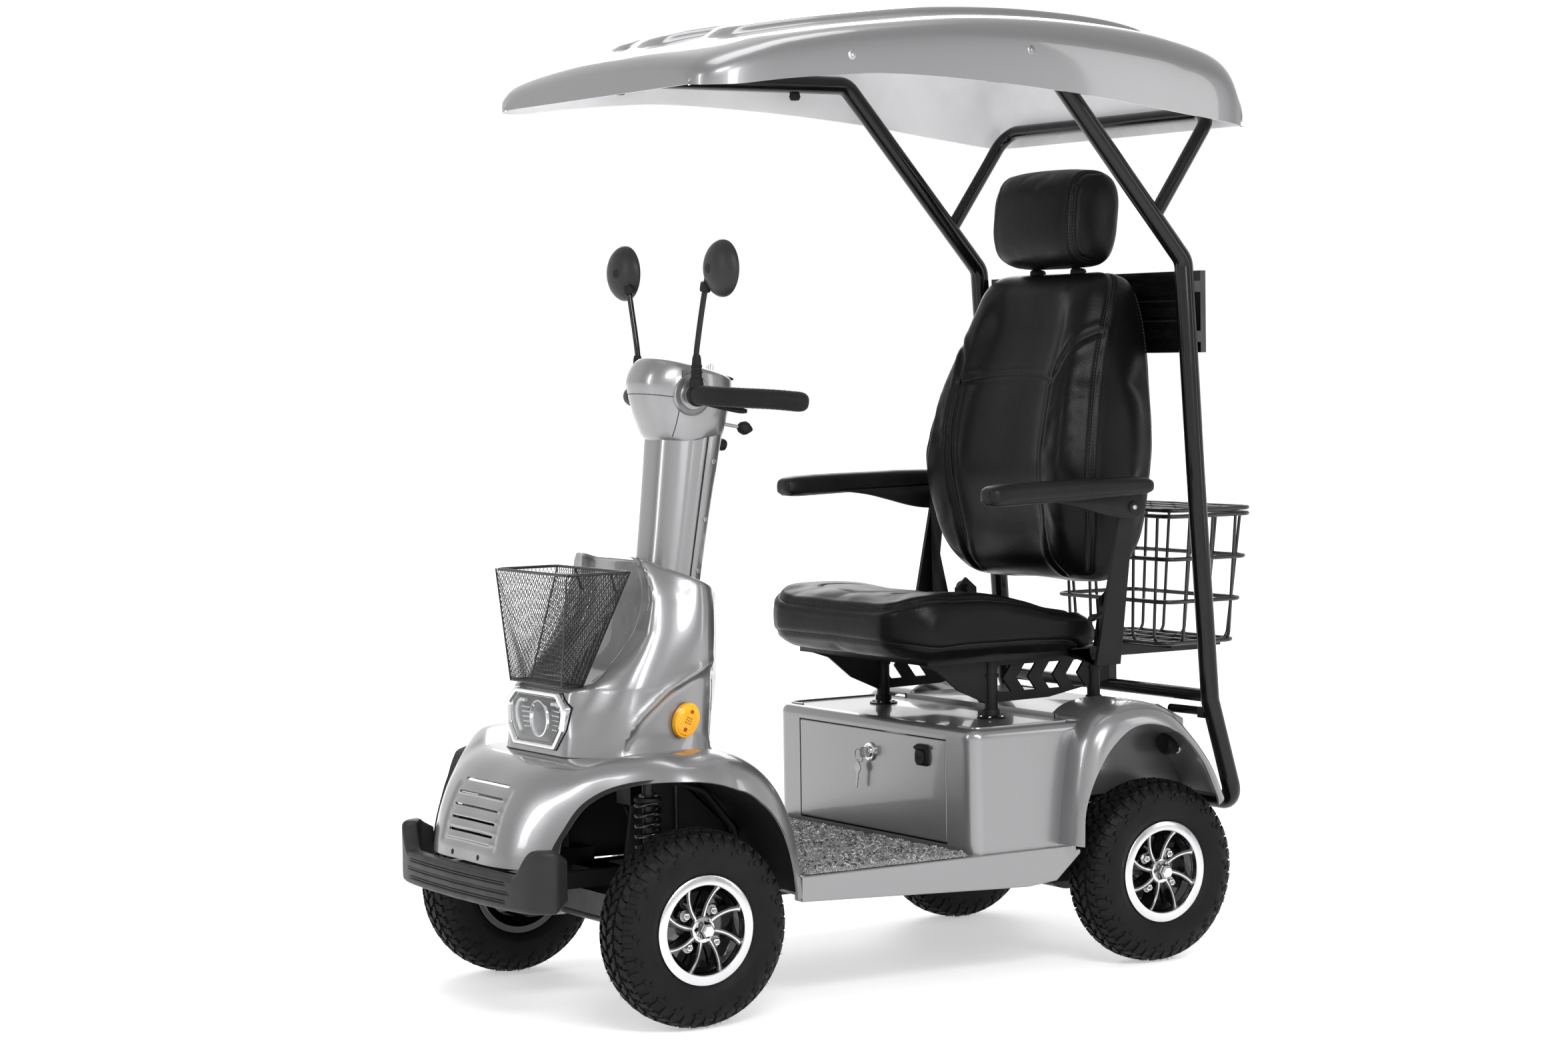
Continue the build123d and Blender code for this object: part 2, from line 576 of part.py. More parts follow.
# ======================================================== canopy frame
# side frame line, columns: x, z
POST = [(-654, 40, 273), (-654, 60, 273), (-654, 200, 273),
        (-664, FRAME_Y, 273), (-623, FRAME_Y, 463), (-593, FRAME_Y, 890),
        (-570, FRAME_Y, 1262), (-262, FRAME_Y, 1612), (240, FRAME_Y, 1612)]
with BuildPart() as canopy_frame:
    for s in (1, -1):
        fy = FRAME_Y * s
        pipe([(-679, 172 * s, 273), (-679, fy, 273)]
             + [(x, y * s, z) for x, y, z in POST[4:]], 34, TUBE_R)
        for tx in (187, -184):
            y0, y1 = sorted((fy, (ROOF_Y - ROOF_T) * s))
            block(tx - 15, tx + 15, y0, y1, 1604, 1608)
        # clips of the cross panel
        for cz in (1125, 1215):
            block(-604, -578, fy - 12, fy + 12, cz - 10, cz + 10)
        # stay from the lower kink to the tail of the body
        rod((-630, 292 * s, 440), (-622, 200 * s, 440), 8)
        y0, y1 = sorted((288 * s, 306 * s))
        block(-638, -612, y0, y1, 430, 450)
    # rear branches and the tube that joins them under the roof
    pipe([(-505, FRAME_Y, 1342), (-640, FRAME_Y, 1530),
          (-640, -FRAME_Y, 1530), (-505, -FRAME_Y, 1342)], 40, 13)
    rod((240, -FRAME_Y, 1612), (240, FRAME_Y, 1612), 14)
    rod((-623, -FRAME_Y, 470), (-623, FRAME_Y, 470), 12)
    # bracket that carries the rear basket
    block(-635, -611, -24, 24, 466, 548)
    block(-850, -611, -24, 24, 524, 548)
    block(-810, -690, -120, 120, 541, 548)
    # ribbed panel behind the seat
    block(-616, -604, -FRAME_Y - 6, FRAME_Y + 6, 1096, 1244)
    for z in (1130, 1170, 1210):
        block(-604, -598, -FRAME_Y + 30, FRAME_Y - 30, z - 9, z + 9)
save(canopy_frame, "canopy_frame")

# ========================================================= canopy roof
# columns: x, lower edge z, shoulder z, top z, half width
ROOF = [
    (467, 1545, 1560, 1590, 352),
    (440, 1543, 1574, 1615, 372),
    (319, 1556, 1612, 1648, 378),
    (120, 1571, 1643, 1677, 378),
    (-90, 1564, 1657, 1700, 378),
    (-322, 1545, 1648, 1706, 378),
    (-520, 1520, 1622, 1690, 378),
    (-630, 1506, 1589, 1655, 376),
    (-664, 1501, 1545, 1610, 366),
]


def roof_section(x, lo, sh, top, hw, t=0.0, drop=0.0):
    return outline(Plane.YZ.offset(x), [
        (-hw + t, lo - drop), (-hw + t, sh - t),
        (-hw + 30, sh + (top - sh) * 0.42 - t),
        (-hw * 0.55, sh + (top - sh) * 0.8 - t), (0, top - t),
        (hw * 0.55, sh + (top - sh) * 0.8 - t),
        (hw - 30, sh + (top - sh) * 0.42 - t),
        (hw - t, sh - t), (hw - t, lo - drop)]).face()


with BuildPart() as roof_outer:
    loft([roof_section(*row) for row in ROOF], ruled=True)
with BuildPart() as roof_inner:
    rows = [list(row) for row in ROOF]
    rows[0][0] -= ROOF_T
    rows[-1][0] += ROOF_T
    loft([roof_section(*row, t=ROOF_T, drop=2.0) for row in rows], ruled=True)
with BuildPart() as canopy_roof:
    add(roof_outer.part)
    add(roof_inner.part, mode=Mode.SUBTRACT)
save(canopy_roof, "canopy_roof")

# ======================================================== rear basket
BK_LID = 803.0
BK_X0, BK_X1, BK_Y, BK_Z0, BK_Z1 = -640.0, -840.0, 185.0, 548.0, 792.0
with BuildPart() as rear_basket:
    # open bars: three rims and the uprights
    for z, grow in ((BK_Z1, 0), (BK_Z1 - 80, -6), (BK_Z1 - 160, -14),
                    (BK_Z0 + 6, -24)):
        x0, x1, hy = BK_X0 - (-grow), BK_X1 + (-grow), BK_Y + grow
        x0 = BK_X0
        pipe([(x0, -hy, z), (x1, -hy, z), (x1, hy, z), (x0, hy, z)], 30, 4,
             close=True)
    for k in range(5):
        y = -BK_Y + 50 + 70 * k
        pipe([(BK_X0, y, BK_Z1), (BK_X0, y * 0.9, BK_Z0 + 4),
              (BK_X1 + 24, y * 0.9, BK_Z0 + 4), (BK_X1, y, BK_Z1)], 20, 3)
    for k in range(3):
        x = BK_X0 - 45 - 55 * k
        pipe([(x, -BK_Y, BK_Z1), (x, -BK_Y + 24, BK_Z0 + 4),
              (x, BK_Y - 24, BK_Z0 + 4), (x, BK_Y, BK_Z1)], 20, 3)
save(rear_basket, "rear_basket")

with BuildPart() as rear_basket_lid:
    pipe([(BK_X0 - 4, -BK_Y, BK_LID), (BK_X1, -BK_Y, BK_LID),
          (BK_X1, BK_Y, BK_LID), (BK_X0 - 4, BK_Y, BK_LID)], 30, 4, close=True)
    for k in range(5):
        y = -BK_Y + 50 + 70 * k
        rod((BK_X0 - 4, y, BK_LID), (BK_X1, y, BK_LID), 3)
    for k in range(3):
        x = BK_X0 - 45 - 55 * k
        rod((x, -BK_Y, BK_LID), (x, BK_Y, BK_LID), 3)
save(rear_basket_lid, "rear_basket_lid")

# ========================================================= seat frame
POST_Y = 171.0
with BuildPart() as seat_frame:
    # tray under the cushion
    block(-490, -30, -224, 224, 552, 566)
    for s in (1, -1):
        y0, y1 = sorted(((POST_Y - 3) * s, (POST_Y + 3) * s))
        side([(-60, 556), (-110, 540), (-160, 500), (-220, 474),
              (-360, 476), (-500, 500), (-500, 556)], y0, y1)
        for k in range(4):
            x = -250 - 56 * k
            side([(x, 540), (x - 26, 540), (x - 8, 516), (x - 26, 492),
                  (x, 492), (x + 18, 516)], y0 - 1, y1 + 1,
                 mode=Mode.SUBTRACT)
        for px in (-233, -465):
            rod((px, POST_Y * s, BOX_TOP if px > BOX_REAR else BOX_TOP + 8),
                (px, POST_Y * s, 552), 12)
        # uprights of the armrests
        y0, y1 = sorted(((PAD_Y - 32) * s, (PAD_Y - 24) * s))
        side([(-375, 540), (-430, 540), (-462, 800), (-462, 836),
              (-434, 836), (-430, 800)], y0, y1)
        y0, y1 = sorted((215 * s, (PAD_Y - 24) * s))
        block(-430, -380, y0, y1, 552, 562)
        # recline hinge ears
        y0, y1 = sorted((218 * s, 224 * s))
        side([(-438, 552), (-490, 552), (-486, 650), (-462, 670),
              (-438, 650)], y0, y1)
        rod((RECLINE_X, 206 * s, RECLINE_Z), (RECLINE_X, 230 * s, RECLINE_Z), 8)
    for s in (1, -1):
        rod((ARM_PIN_X, (PAD_Y - 32) * s, ARM_PIN_Z),
            (ARM_PIN_X, (PAD_Y - 12) * s, ARM_PIN_Z), 6)
save(seat_frame, "seat_frame")

# ========================================================= seat cushion
with BuildPart() as seat_cushion:
    side([(-432, 566), (-432, 618), (-330, 630), (-200, 668), (-40, 676),
          (-4, 664), (12, 630), (8, 590), (-30, 566)], -250, 250)
    fillet(seat_cushion.edges().filter_by(Axis.Z, reverse=True)
           .group_by(Axis.Y)[-1], radius=20)
    fillet(seat_cushion.edges().filter_by(Axis.Z, reverse=True)
           .group_by(Axis.Y)[0], radius=20)
save(seat_cushion, "seat_cushion")

# ============================================================ backrest
def back_plane(h):
    # plane across the backrest, h above the hinge along its slope
    a = radians(BACK_LEAN)
    return Plane(origin=(RECLINE_X - sin(a) * h, 0, RECLINE_Z + cos(a) * h),
                 x_dir=(0, 1, 0), z_dir=(-sin(a), 0, cos(a)))


# columns: height, half width, forward face, rear face (from the hinge line)
BACK = [
    (34, 188, 36, -56),
    (120, 226, 84, -84),
    (240, 238, 112, -96),
    (400, 214, 94, -92),
    (520, 190, 58, -76),
    (590, 176, 38, -56),
    (606, 152, 22, -38),
]
with BuildPart() as seat_back:
    for h, w, fr, rr in BACK:
        with BuildSketch(back_plane(h)):
            with BuildLine():
                Polyline((-w, 0), (-w + 12, -fr * 0.85), (-w + 44, -fr),
                         (-w * 0.5, -fr * 0.8), (w * 0.5, -fr * 0.8),
                         (w - 44, -fr), (w - 12, -fr * 0.85), (w, 0),
                         (w - 22, -rr), (-w + 22, -rr), close=True)
            make_face()
    loft(ruled=True)
    # hinge cheeks
    for s in (1, -1):
        y0, y1 = sorted((204 * s, 213 * s))
        side([(RECLINE_X - 18, RECLINE_Z - 16), (RECLINE_X + 18, RECLINE_Z - 16),
              (RECLINE_X + 20, RECLINE_Z + 70), (RECLINE_X - 40, RECLINE_Z + 90)],
             y0, y1)
        rod((RECLINE_X, 200 * s, RECLINE_Z), (RECLINE_X, 240 * s, RECLINE_Z),
            8 + FIT, mode=Mode.SUBTRACT)
    # sockets of the headrest rods
    a = radians(BACK_LEAN)
    for s in (1, -1):
        o = back_plane(500).origin
        with BuildSketch(Plane(origin=(o.X - 4, 62 * s, o.Z),
                               x_dir=(0, 1, 0), z_dir=(-sin(a), 0, cos(a)))):
            Circle(6 + FIT)
        extrude(amount=140, mode=Mode.SUBTRACT)
save(seat_back, "seat_back")

# columns: height, half width, forward face, rear face
HEAD = [
    (616, 118, 44, -36),
    (640, 134, 58, -50),
    (740, 136, 60, -50),
    (788, 124, 44, -34),
]
with BuildPart() as headrest:
    for h, w, fr, rr in HEAD:
        with BuildSketch(back_plane(h)):
            with BuildLine():
                Polyline((-w, 0), (-w + 10, -fr * 0.85), (-w * 0.6, -fr),
                         (w * 0.6, -fr), (w - 10, -fr * 0.85), (w, 0),
                         (w - 16, -rr), (-w + 16, -rr), close=True)
            make_face()
    loft(ruled=True)
    for s in (1, -1):
        o = back_plane(506).origin
        with BuildSketch(Plane(origin=(o.X - 4, 62 * s, o.Z),
                               x_dir=(0, 1, 0), z_dir=(-sin(a), 0, cos(a)))):
            Circle(6)
        extrude(amount=130)
save(headrest, "headrest")

# ============================================================ armrests
for tag, s in (("left", 1), ("right", -1)):
    with BuildPart() as armrest:
        y0, y1 = sorted(((PAD_Y - 18) * s, (PAD_Y + 34) * s))
        side([(-470, 846), (-116, 834), (-110, 846), (-116, 866), (-130, 871),
              (-470, 874)], y0, y1)
        # bracket wedge that runs back to the pin
        y0, y1 = sorted(((PAD_Y - 17) * s, (PAD_Y - 5) * s))
        side([(-230, 845), (-330, 826), (-400, 806), (-466, 804),
              (-470, 850), (-240, 850)], y0, y1)
        rod((ARM_PIN_X, (PAD_Y - 40) * s, ARM_PIN_Z),
            (ARM_PIN_X, (PAD_Y + 10) * s, ARM_PIN_Z), 6 + FIT,
            mode=Mode.SUBTRACT)
    save(armrest, "armrest_" + tag)

# ======================================================== battery door
with BuildPart() as battery_door:
    block(BOX_FRONT - 8, BOX_FRONT, -DOOR_Y + 2, DOOR_Y - 2, FLOOR_Z + 17,
          BOX_TOP - 24)
    # rounded lower edge that the door turns about
    rod((BOX_FRONT - 4, -DOOR_Y + 2, FLOOR_Z + 17),
        (BOX_FRONT - 4, DOOR_Y - 2, FLOOR_Z + 17), 4)
save(battery_door, "battery_door")
with BuildPart() as door_fittings:
    rod((BOX_FRONT, 0, 382), (BOX_FRONT + 8, 0, 382), 17)
    block(BOX_FRONT, BOX_FRONT + 12, 148, 184, 372, 410)
save(door_fittings, "door_fittings")

# ============================================================== tiller
LEAN = radians(STEER_LEAN)
AX = Vector(-sin(LEAN), 0, cos(LEAN))


def tiller_plane(h):
    # plane across the column, h above the reference point along its axis
    return Plane(origin=(STEER_X + AX.X * h, 0, STEER_Z + AX.Z * h),
                 x_dir=(cos(LEAN), 0, sin(LEAN)), z_dir=(AX.X, 0, AX.Z))


# columns: height, length fore-aft, width, corner radius
COLUMN = [(-60, 104, 100, 34), (60, 110, 106, 38), (250, 128, 112, 40)]
with BuildPart() as steering_column:
    for h, l, w, r in COLUMN:
        with BuildSketch(tiller_plane(h)):
            RectangleRounded(l, w, r)
    loft()
    # shaft down to the frame
    with BuildSketch(tiller_plane(-532)):
        Circle(14)
    extrude(amount=482)
save(steering_column, "steering_column")

# columns: height, centre forward, length, width, corner radius
HEADS = [(214, 4, 134, 118, 46), (250, 12, 160, 138, 56),
         (306, 20, 184, 150, 62), (346, 14, 164, 134, 54)]
with BuildPart() as tiller_head:
    for h, c, l, w, r in HEADS:
        with BuildSketch(tiller_plane(h)):
            with Locations((c, 0)):
                RectangleRounded(l, w, r)
    loft()
with BuildPart() as tiller_head_cut:
    add(tiller_head.part)
    # face towards the rider slopes back
    side([(420, 1112), (180, 1050), (180, 1200), (420, 1200)], -100, 100,
         mode=Mode.SUBTRACT)
    # two knobs
    rod((240, 26, 986), (172, 30, 972), 8)
    rod((240, -26, 954), (196, -28, 944), 11)
    add(steering_column.part, mode=Mode.SUBTRACT)
save(tiller_head_cut, "tiller_head")

with BuildPart() as handlebar:
    for s in (1, -1):
        pipe([(322, 50 * s, 1037), (326, 120 * s, 1036), (256, 236 * s, 1028),
              (206, 256 * s, 1022)], 22, 15.5)
with BuildPart() as handlebar_cut:
    add(handlebar.part)
    add(tiller_head_cut.part, mode=Mode.SUBTRACT)
save(handlebar_cut, "handlebar")

# ============================================================= mirrors
for tag, s in (("left", 1), ("right", -1)):
    with BuildPart() as mirror:
        rod((330, 98 * s, 1052.6), (330, 98 * s, 1104), 9)
        pipe([(330, 98 * s, 1096), (330, 98 * s, 1120), (328, 132 * s, 1226)],
             10, 5)
        with BuildSketch(Plane(origin=(336, 165 * s, 1252),
                               z_dir=(-1, 0, 0))) as sk:
            Circle(49)
        extrude(sk.sketch, amount=22)
    save(mirror, "mirror_" + tag)
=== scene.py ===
import json
import math
import random

import bmesh
import bpy
import numpy as np
from mathutils import Matrix, Vector, noise
from mathutils.bvhtree import BVHTree

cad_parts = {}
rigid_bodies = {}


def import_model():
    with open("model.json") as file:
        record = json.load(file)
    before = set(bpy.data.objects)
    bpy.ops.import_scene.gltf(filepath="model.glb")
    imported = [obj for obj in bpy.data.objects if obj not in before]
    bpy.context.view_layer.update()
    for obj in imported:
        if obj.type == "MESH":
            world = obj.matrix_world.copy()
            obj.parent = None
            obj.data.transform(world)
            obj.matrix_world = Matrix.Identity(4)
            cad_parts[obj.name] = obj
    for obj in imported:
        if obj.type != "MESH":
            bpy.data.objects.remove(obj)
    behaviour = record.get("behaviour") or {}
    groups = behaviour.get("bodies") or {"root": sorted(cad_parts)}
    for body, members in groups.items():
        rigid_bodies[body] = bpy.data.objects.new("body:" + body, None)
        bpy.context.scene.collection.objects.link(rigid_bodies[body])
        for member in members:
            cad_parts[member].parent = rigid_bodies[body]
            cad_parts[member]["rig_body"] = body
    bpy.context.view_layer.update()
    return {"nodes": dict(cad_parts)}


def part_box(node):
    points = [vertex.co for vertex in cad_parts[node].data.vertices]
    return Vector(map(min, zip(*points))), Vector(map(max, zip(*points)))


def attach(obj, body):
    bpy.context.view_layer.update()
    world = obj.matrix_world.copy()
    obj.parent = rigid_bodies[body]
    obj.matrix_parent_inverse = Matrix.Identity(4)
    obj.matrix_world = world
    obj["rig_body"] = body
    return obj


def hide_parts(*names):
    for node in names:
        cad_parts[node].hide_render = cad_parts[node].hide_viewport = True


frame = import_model()
nodes = frame["nodes"]
scene = bpy.context.scene
random.seed(7)
rng = np.random.default_rng(7)

SHIFT = 40.0                 # the file's origin from the middle of the wheelbase
HB, AXLE = 488.7, 165.0


def W(p):
    # millimetres, x from the middle of the wheelbase, to the row frame
    return Vector(((p[0] + SHIFT) / 1000, p[1] / 1000, p[2] / 1000))


# ------------------------------------------------------------------ camera
cam_data = bpy.data.cameras.new("camera")
cam_data.lens = 77.315
cam_data.sensor_width = 36
cam_data.clip_start, cam_data.clip_end = 0.1, 100
cam = bpy.data.objects.new("camera", cam_data)
scene.collection.objects.link(cam)
cam.matrix_world = Matrix((
    (-0.8410033, -0.0404162, 0.5395183, 3.366555),
    (0.5408080, -0.0342334, 0.8404492, 5.037086),
    (-0.0154982, 0.9985963, 0.0506477, 1.108756),
    (0, 0, 0, 1)))
scene.camera = cam

# ------------------------------------------------------------------ lights
world = bpy.data.worlds.new("studio")
scene.world = world
world.use_nodes = True
wt = world.node_tree
bg = wt.nodes["Background"]
bg.inputs[1].default_value = 1.0
# studio: pale backdrop behind the object, dimmer room on the other side and above
tc = wt.nodes.new("ShaderNodeTexCoord")
dot = wt.nodes.new("ShaderNodeVectorMath")
dot.operation = "DOT_PRODUCT"
dot.inputs[1].default_value = (0.27, 0.42, 0.0)
wt.links.new(tc.outputs["Generated"], dot.inputs[0])
add = wt.nodes.new("ShaderNodeMath")
add.operation = "ADD"
add.inputs[1].default_value = 0.5
wt.links.new(dot.outputs["Value"], add.inputs[0])
r1 = wt.nodes.new("ShaderNodeValToRGB")
for e, (q, v) in zip([r1.color_ramp.elements[0], r1.color_ramp.elements[1], r1.color_ramp.elements.new(0.30),
                      r1.color_ramp.elements.new(0.62)], ((0.0, 1.0), (1.0, 0.13), (0.30, 1.0), (0.60, 0.24))):
    e.position = q
    e.color = (v, v, v, 1)
wt.links.new(add.outputs[0], r1.inputs["Fac"])
sp = wt.nodes.new("ShaderNodeSeparateXYZ")
wt.links.new(tc.outputs["Generated"], sp.inputs[0])
r2 = wt.nodes.new("ShaderNodeValToRGB")
r2.color_ramp.elements[0].position, r2.color_ramp.elements[0].color = 0.30, (0, 0, 0, 1)
r2.color_ramp.elements[1].position, r2.color_ramp.elements[1].color = 0.75, (1, 1, 1, 1)
wt.links.new(sp.outputs[2], r2.inputs["Fac"])
mix = wt.nodes.new("ShaderNodeMixRGB")
mix.inputs[2].default_value = (0.62, 0.62, 0.62, 1)
wt.links.new(r2.outputs["Color"], mix.inputs[0])
wt.links.new(r1.outputs["Color"], mix.inputs[1])
wt.links.new(mix.outputs[0], bg.inputs[0])
scene.view_settings.view_transform = "Standard"


def area(name, loc, target, sx, sy, power):
    d = bpy.data.lights.new(name, "AREA")
    d.shape = "RECTANGLE"
    d.size, d.size_y = sx, sy
    d.energy = power
    o = bpy.data.objects.new(name, d)
    scene.collection.objects.link(o)
    o.location = loc
    o.rotation_euler = (Vector(target) - Vector(loc)).to_track_quat("-Z", "Y").to_euler()
    return o


area("key", (1.6, 3.6, 3.4), (0, 0, 0.8), 1.8, 0.7, 88)
area("front", (4.2, -0.4, 2.2), (0, 0, 0.7), 0.6, 2.6, 50)
area("side", (-2.6, 3.0, 1.5), (0, 0, 0.6), 0.5, 2.0, 13)
area("top", (0, -0.2, 4.6), (0, 0, 0.9), 2.6, 1.8, 52)
area("flank", (0.2, 3.0, 1.65), (0.4, 0.2, 0.6), 0.8, 1.3, 26)
area("back", (-2.2, -3.6, 2.6), (0, 0, 0.8), 2.6, 2.0, 46)



# --------------------------------------------------------------- materials
def new_mat(name):
    m = bpy.data.materials.new(name)
    m.use_nodes = True
    t = m.node_tree
    return m, t, t.nodes, t.links, t.nodes["Principled BSDF"]


def coords(n, l):
    tc = n.new("ShaderNodeTexCoord")
    return tc.outputs["Object"]


def tex_noise(n, l, src, scale, detail=3.0, rough=0.5):
    t = n.new("ShaderNodeTexNoise")
    t.inputs["Scale"].default_value = scale
    t.inputs["Detail"].default_value = detail
    t.inputs["Roughness"].default_value = rough
    l.new(src, t.inputs["Vector"])
    return t.outputs["Fac"]


def tex_vor(n, l, src, scale, feature="F1"):
    t = n.new("ShaderNodeTexVoronoi")
    t.feature = feature
    t.inputs["Scale"].default_value = scale
    l.new(src, t.inputs["Vector"])
    return t.outputs["Distance"]


def ramp(n, l, src, stops):
    r = n.new("ShaderNodeValToRGB")
    els = r.color_ramp.elements
    while len(els) < len(stops):
        els.new(0.5)
    for e, (p, c) in zip(els, stops):
        e.position = p
        e.color = (*c, 1) if len(c) == 3 else (c[0], c[0], c[0], 1)
    l.new(src, r.inputs["Fac"])
    return r.outputs["Color"]


def bump(n, l, b, src, strength, dist, under=None):
    k = n.new("ShaderNodeBump")
    k.inputs["Strength"].default_value = strength
    k.inputs["Distance"].default_value = dist
    l.new(src, k.inputs["Height"])
    if under is not None:
        l.new(under, k.inputs["Normal"])
    l.new(k.outputs["Normal"], b.inputs["Normal"])
    return k.outputs["Normal"]


def edge_wear(n, l, light, dark, width=0.012):
    # a little lighter where an edge is worn, from the curvature of the surface
    g = n.new("ShaderNodeNewGeometry")
    return ramp(n, l, g.outputs["Pointiness"], [(0.50, dark), (0.50 + width * 4, light)])


def silver(name, base=0.46, flake=0.05, rough=0.26):
    m, t, n, l, b = new_mat(name)
    c = coords(n, l)
    fine = tex_noise(n, l, c, 2600, 1.0)
    col = ramp(n, l, fine, [(0.30, (base - flake, base - flake, base - flake + 0.004)),
                            (0.70, (base + flake, base + flake, base + flake + 0.006))])
    l.new(col, b.inputs["Base Color"])
    b.inputs["Metallic"].default_value = 0.72
    r = ramp(n, l, tex_noise(n, l, c, 9, 4.0), [(0.3, (rough - 0.006,) * 3), (0.7, (rough + 0.010,) * 3)])
    l.new(r, b.inputs["Roughness"])
    b.inputs["Coat Weight"].default_value = 0.75
    b.inputs["Coat Roughness"].default_value = 0.05
    bump(n, l, b, tex_noise(n, l, c, 3200, 1.0), 0.02, 0.0003)
    return m


def plain(name, col, rough, metallic=0.0, grain=900.0, strength=0.12, dist=0.0003, vary=0.25,
          coat=0.0, sheen=0.0, patch=14.0, spec=0.5, rvary=0.06):
    m, t, n, l, b = new_mat(name)
    c = coords(n, l)
    lo = tuple(v * (1 - vary) for v in col)
    hi = tuple(min(1.0, v * (1 + vary)) for v in col)
    l.new(ramp(n, l, tex_noise(n, l, c, patch, 5.0), [(0.3, lo), (0.7, hi)]), b.inputs["Base Color"])
    l.new(ramp(n, l, tex_noise(n, l, c, patch * 2.3, 4.0),
               [(0.3, (max(0.02, rough - rvary),) * 3), (0.7, (min(1.0, rough + rvary),) * 3)]),
          b.inputs["Roughness"])
    b.inputs["Metallic"].default_value = metallic
    b.inputs["Coat Weight"].default_value = coat
    b.inputs["Coat Roughness"].default_value = 0.06
    b.inputs["Sheen Weight"].default_value = sheen
    b.inputs["Specular IOR Level"].default_value = spec
    if strength:
        bump(n, l, b, tex_noise(n, l, c, grain, 2.0), strength, dist)
    return m


def leather_mat(name, perforated=False):
    m, t, n, l, b = new_mat(name)
    c = coords(n, l)
    pebble = tex_vor(n, l, c, 520, "SMOOTH_F1")
    fine = tex_noise(n, l, c, 1500, 3.0)
    crease = tex_noise(n, l, c, 30, 6.0, 0.65)
    l.new(ramp(n, l, tex_noise(n, l, c, 8, 5.0), [(0.3, (0.0020, 0.0020, 0.0021)), (0.75, (0.0040, 0.0040, 0.0042))]),
          b.inputs["Base Color"])
    l.new(ramp(n, l, tex_noise(n, l, c, 18, 4.0), [(0.3, (0.30,) * 3), (0.7, (0.40,) * 3)]), b.inputs["Roughness"])
    b.inputs["Specular IOR Level"].default_value = 0.12
    k1 = n.new("ShaderNodeBump")
    k1.inputs["Strength"].default_value = 0.32
    k1.inputs["Distance"].default_value = 0.0006
    l.new(pebble, k1.inputs["Height"])
    k2 = n.new("ShaderNodeBump")
    k2.inputs["Strength"].default_value = 0.12
    k2.inputs["Distance"].default_value = 0.004
    l.new(crease, k2.inputs["Height"])
    l.new(k1.outputs["Normal"], k2.inputs["Normal"])
    last = k2
    if perforated:
        sep = n.new("ShaderNodeSeparateXYZ")
        l.new(c, sep.inputs[0])
        comb = n.new("ShaderNodeCombineXYZ")
        l.new(sep.outputs[0], comb.inputs[0])
        l.new(sep.outputs[1], comb.inputs[1])
        mp = n.new("ShaderNodeMapping")
        mp.inputs["Rotation"].default_value = (0, 0, math.radians(45))
        mp.inputs["Scale"].default_value = (240, 240, 240)
        l.new(comb.outputs[0], mp.inputs["Vector"])
        fr = n.new("ShaderNodeVectorMath")
        fr.operation = "FRACTION"
        l.new(mp.outputs[0], fr.inputs[0])
        sub = n.new("ShaderNodeVectorMath")
        sub.operation = "SUBTRACT"
        sub.inputs[1].default_value = (0.5, 0.5, 0.0)
        l.new(fr.outputs[0], sub.inputs[0])
        ln = n.new("ShaderNodeVectorMath")
        ln.operation = "LENGTH"
        l.new(sub.outputs[0], ln.inputs[0])
        holes = ramp(n, l, ln.outputs["Value"], [(0.16, (0.0,) * 3), (0.24, (1.0,) * 3)])
        k3 = n.new("ShaderNodeBump")
        k3.inputs["Strength"].default_value = 0.9
        k3.inputs["Distance"].default_value = 0.0012
        l.new(holes, k3.inputs["Height"])
        l.new(k2.outputs["Normal"], k3.inputs["Normal"])
        last = k3
    l.new(last.outputs["Normal"], b.inputs["Normal"])
    return m


def mat_pile(name):
    m, t, n, l, b = new_mat(name)
    c = coords(n, l)
    a = tex_noise(n, l, c, 620, 4.0, 0.75)
    col = ramp(n, l, a, [(0.40, (0.012, 0.012, 0.012)), (0.50, (0.12, 0.12, 0.12)), (0.60, (0.80, 0.80, 0.80))])
    l.new(col, b.inputs["Base Color"])
    b.inputs["Roughness"].default_value = 0.8
    b.inputs["Sheen Weight"].default_value = 0.2
    bump(n, l, b, tex_noise(n, l, c, 700, 4.0, 0.8), 0.9, 0.004)
    return m


def lens_mat(name, col, rough=0.04, trans=0.95, grid=0.0):
    m, t, n, l, b = new_mat(name)
    c = coords(n, l)
    l.new(ramp(n, l, tex_noise(n, l, c, 40, 2.0), [(0.3, tuple(v * 0.93 for v in col)), (0.7, col)]),
          b.inputs["Base Color"])
    b.inputs["Roughness"].default_value = rough
    b.inputs["Transmission Weight"].default_value = trans
    b.inputs["IOR"].default_value = 1.46
    if grid:
        w1 = n.new("ShaderNodeTexWave")
        w1.bands_direction = "Z"
        w1.inputs["Scale"].default_value = grid
        l.new(c, w1.inputs["Vector"])
        w2 = n.new("ShaderNodeTexWave")
        w2.bands_direction = "X"
        w2.inputs["Scale"].default_value = grid
        l.new(c, w2.inputs["Vector"])
        mx = n.new("ShaderNodeMath")
        mx.operation = "MAXIMUM"
        l.new(w1.outputs["Fac"], mx.inputs[0])
        l.new(w2.outputs["Fac"], mx.inputs[1])
        bump(n, l, b, mx.outputs[0], 0.6, 0.001)
    return m


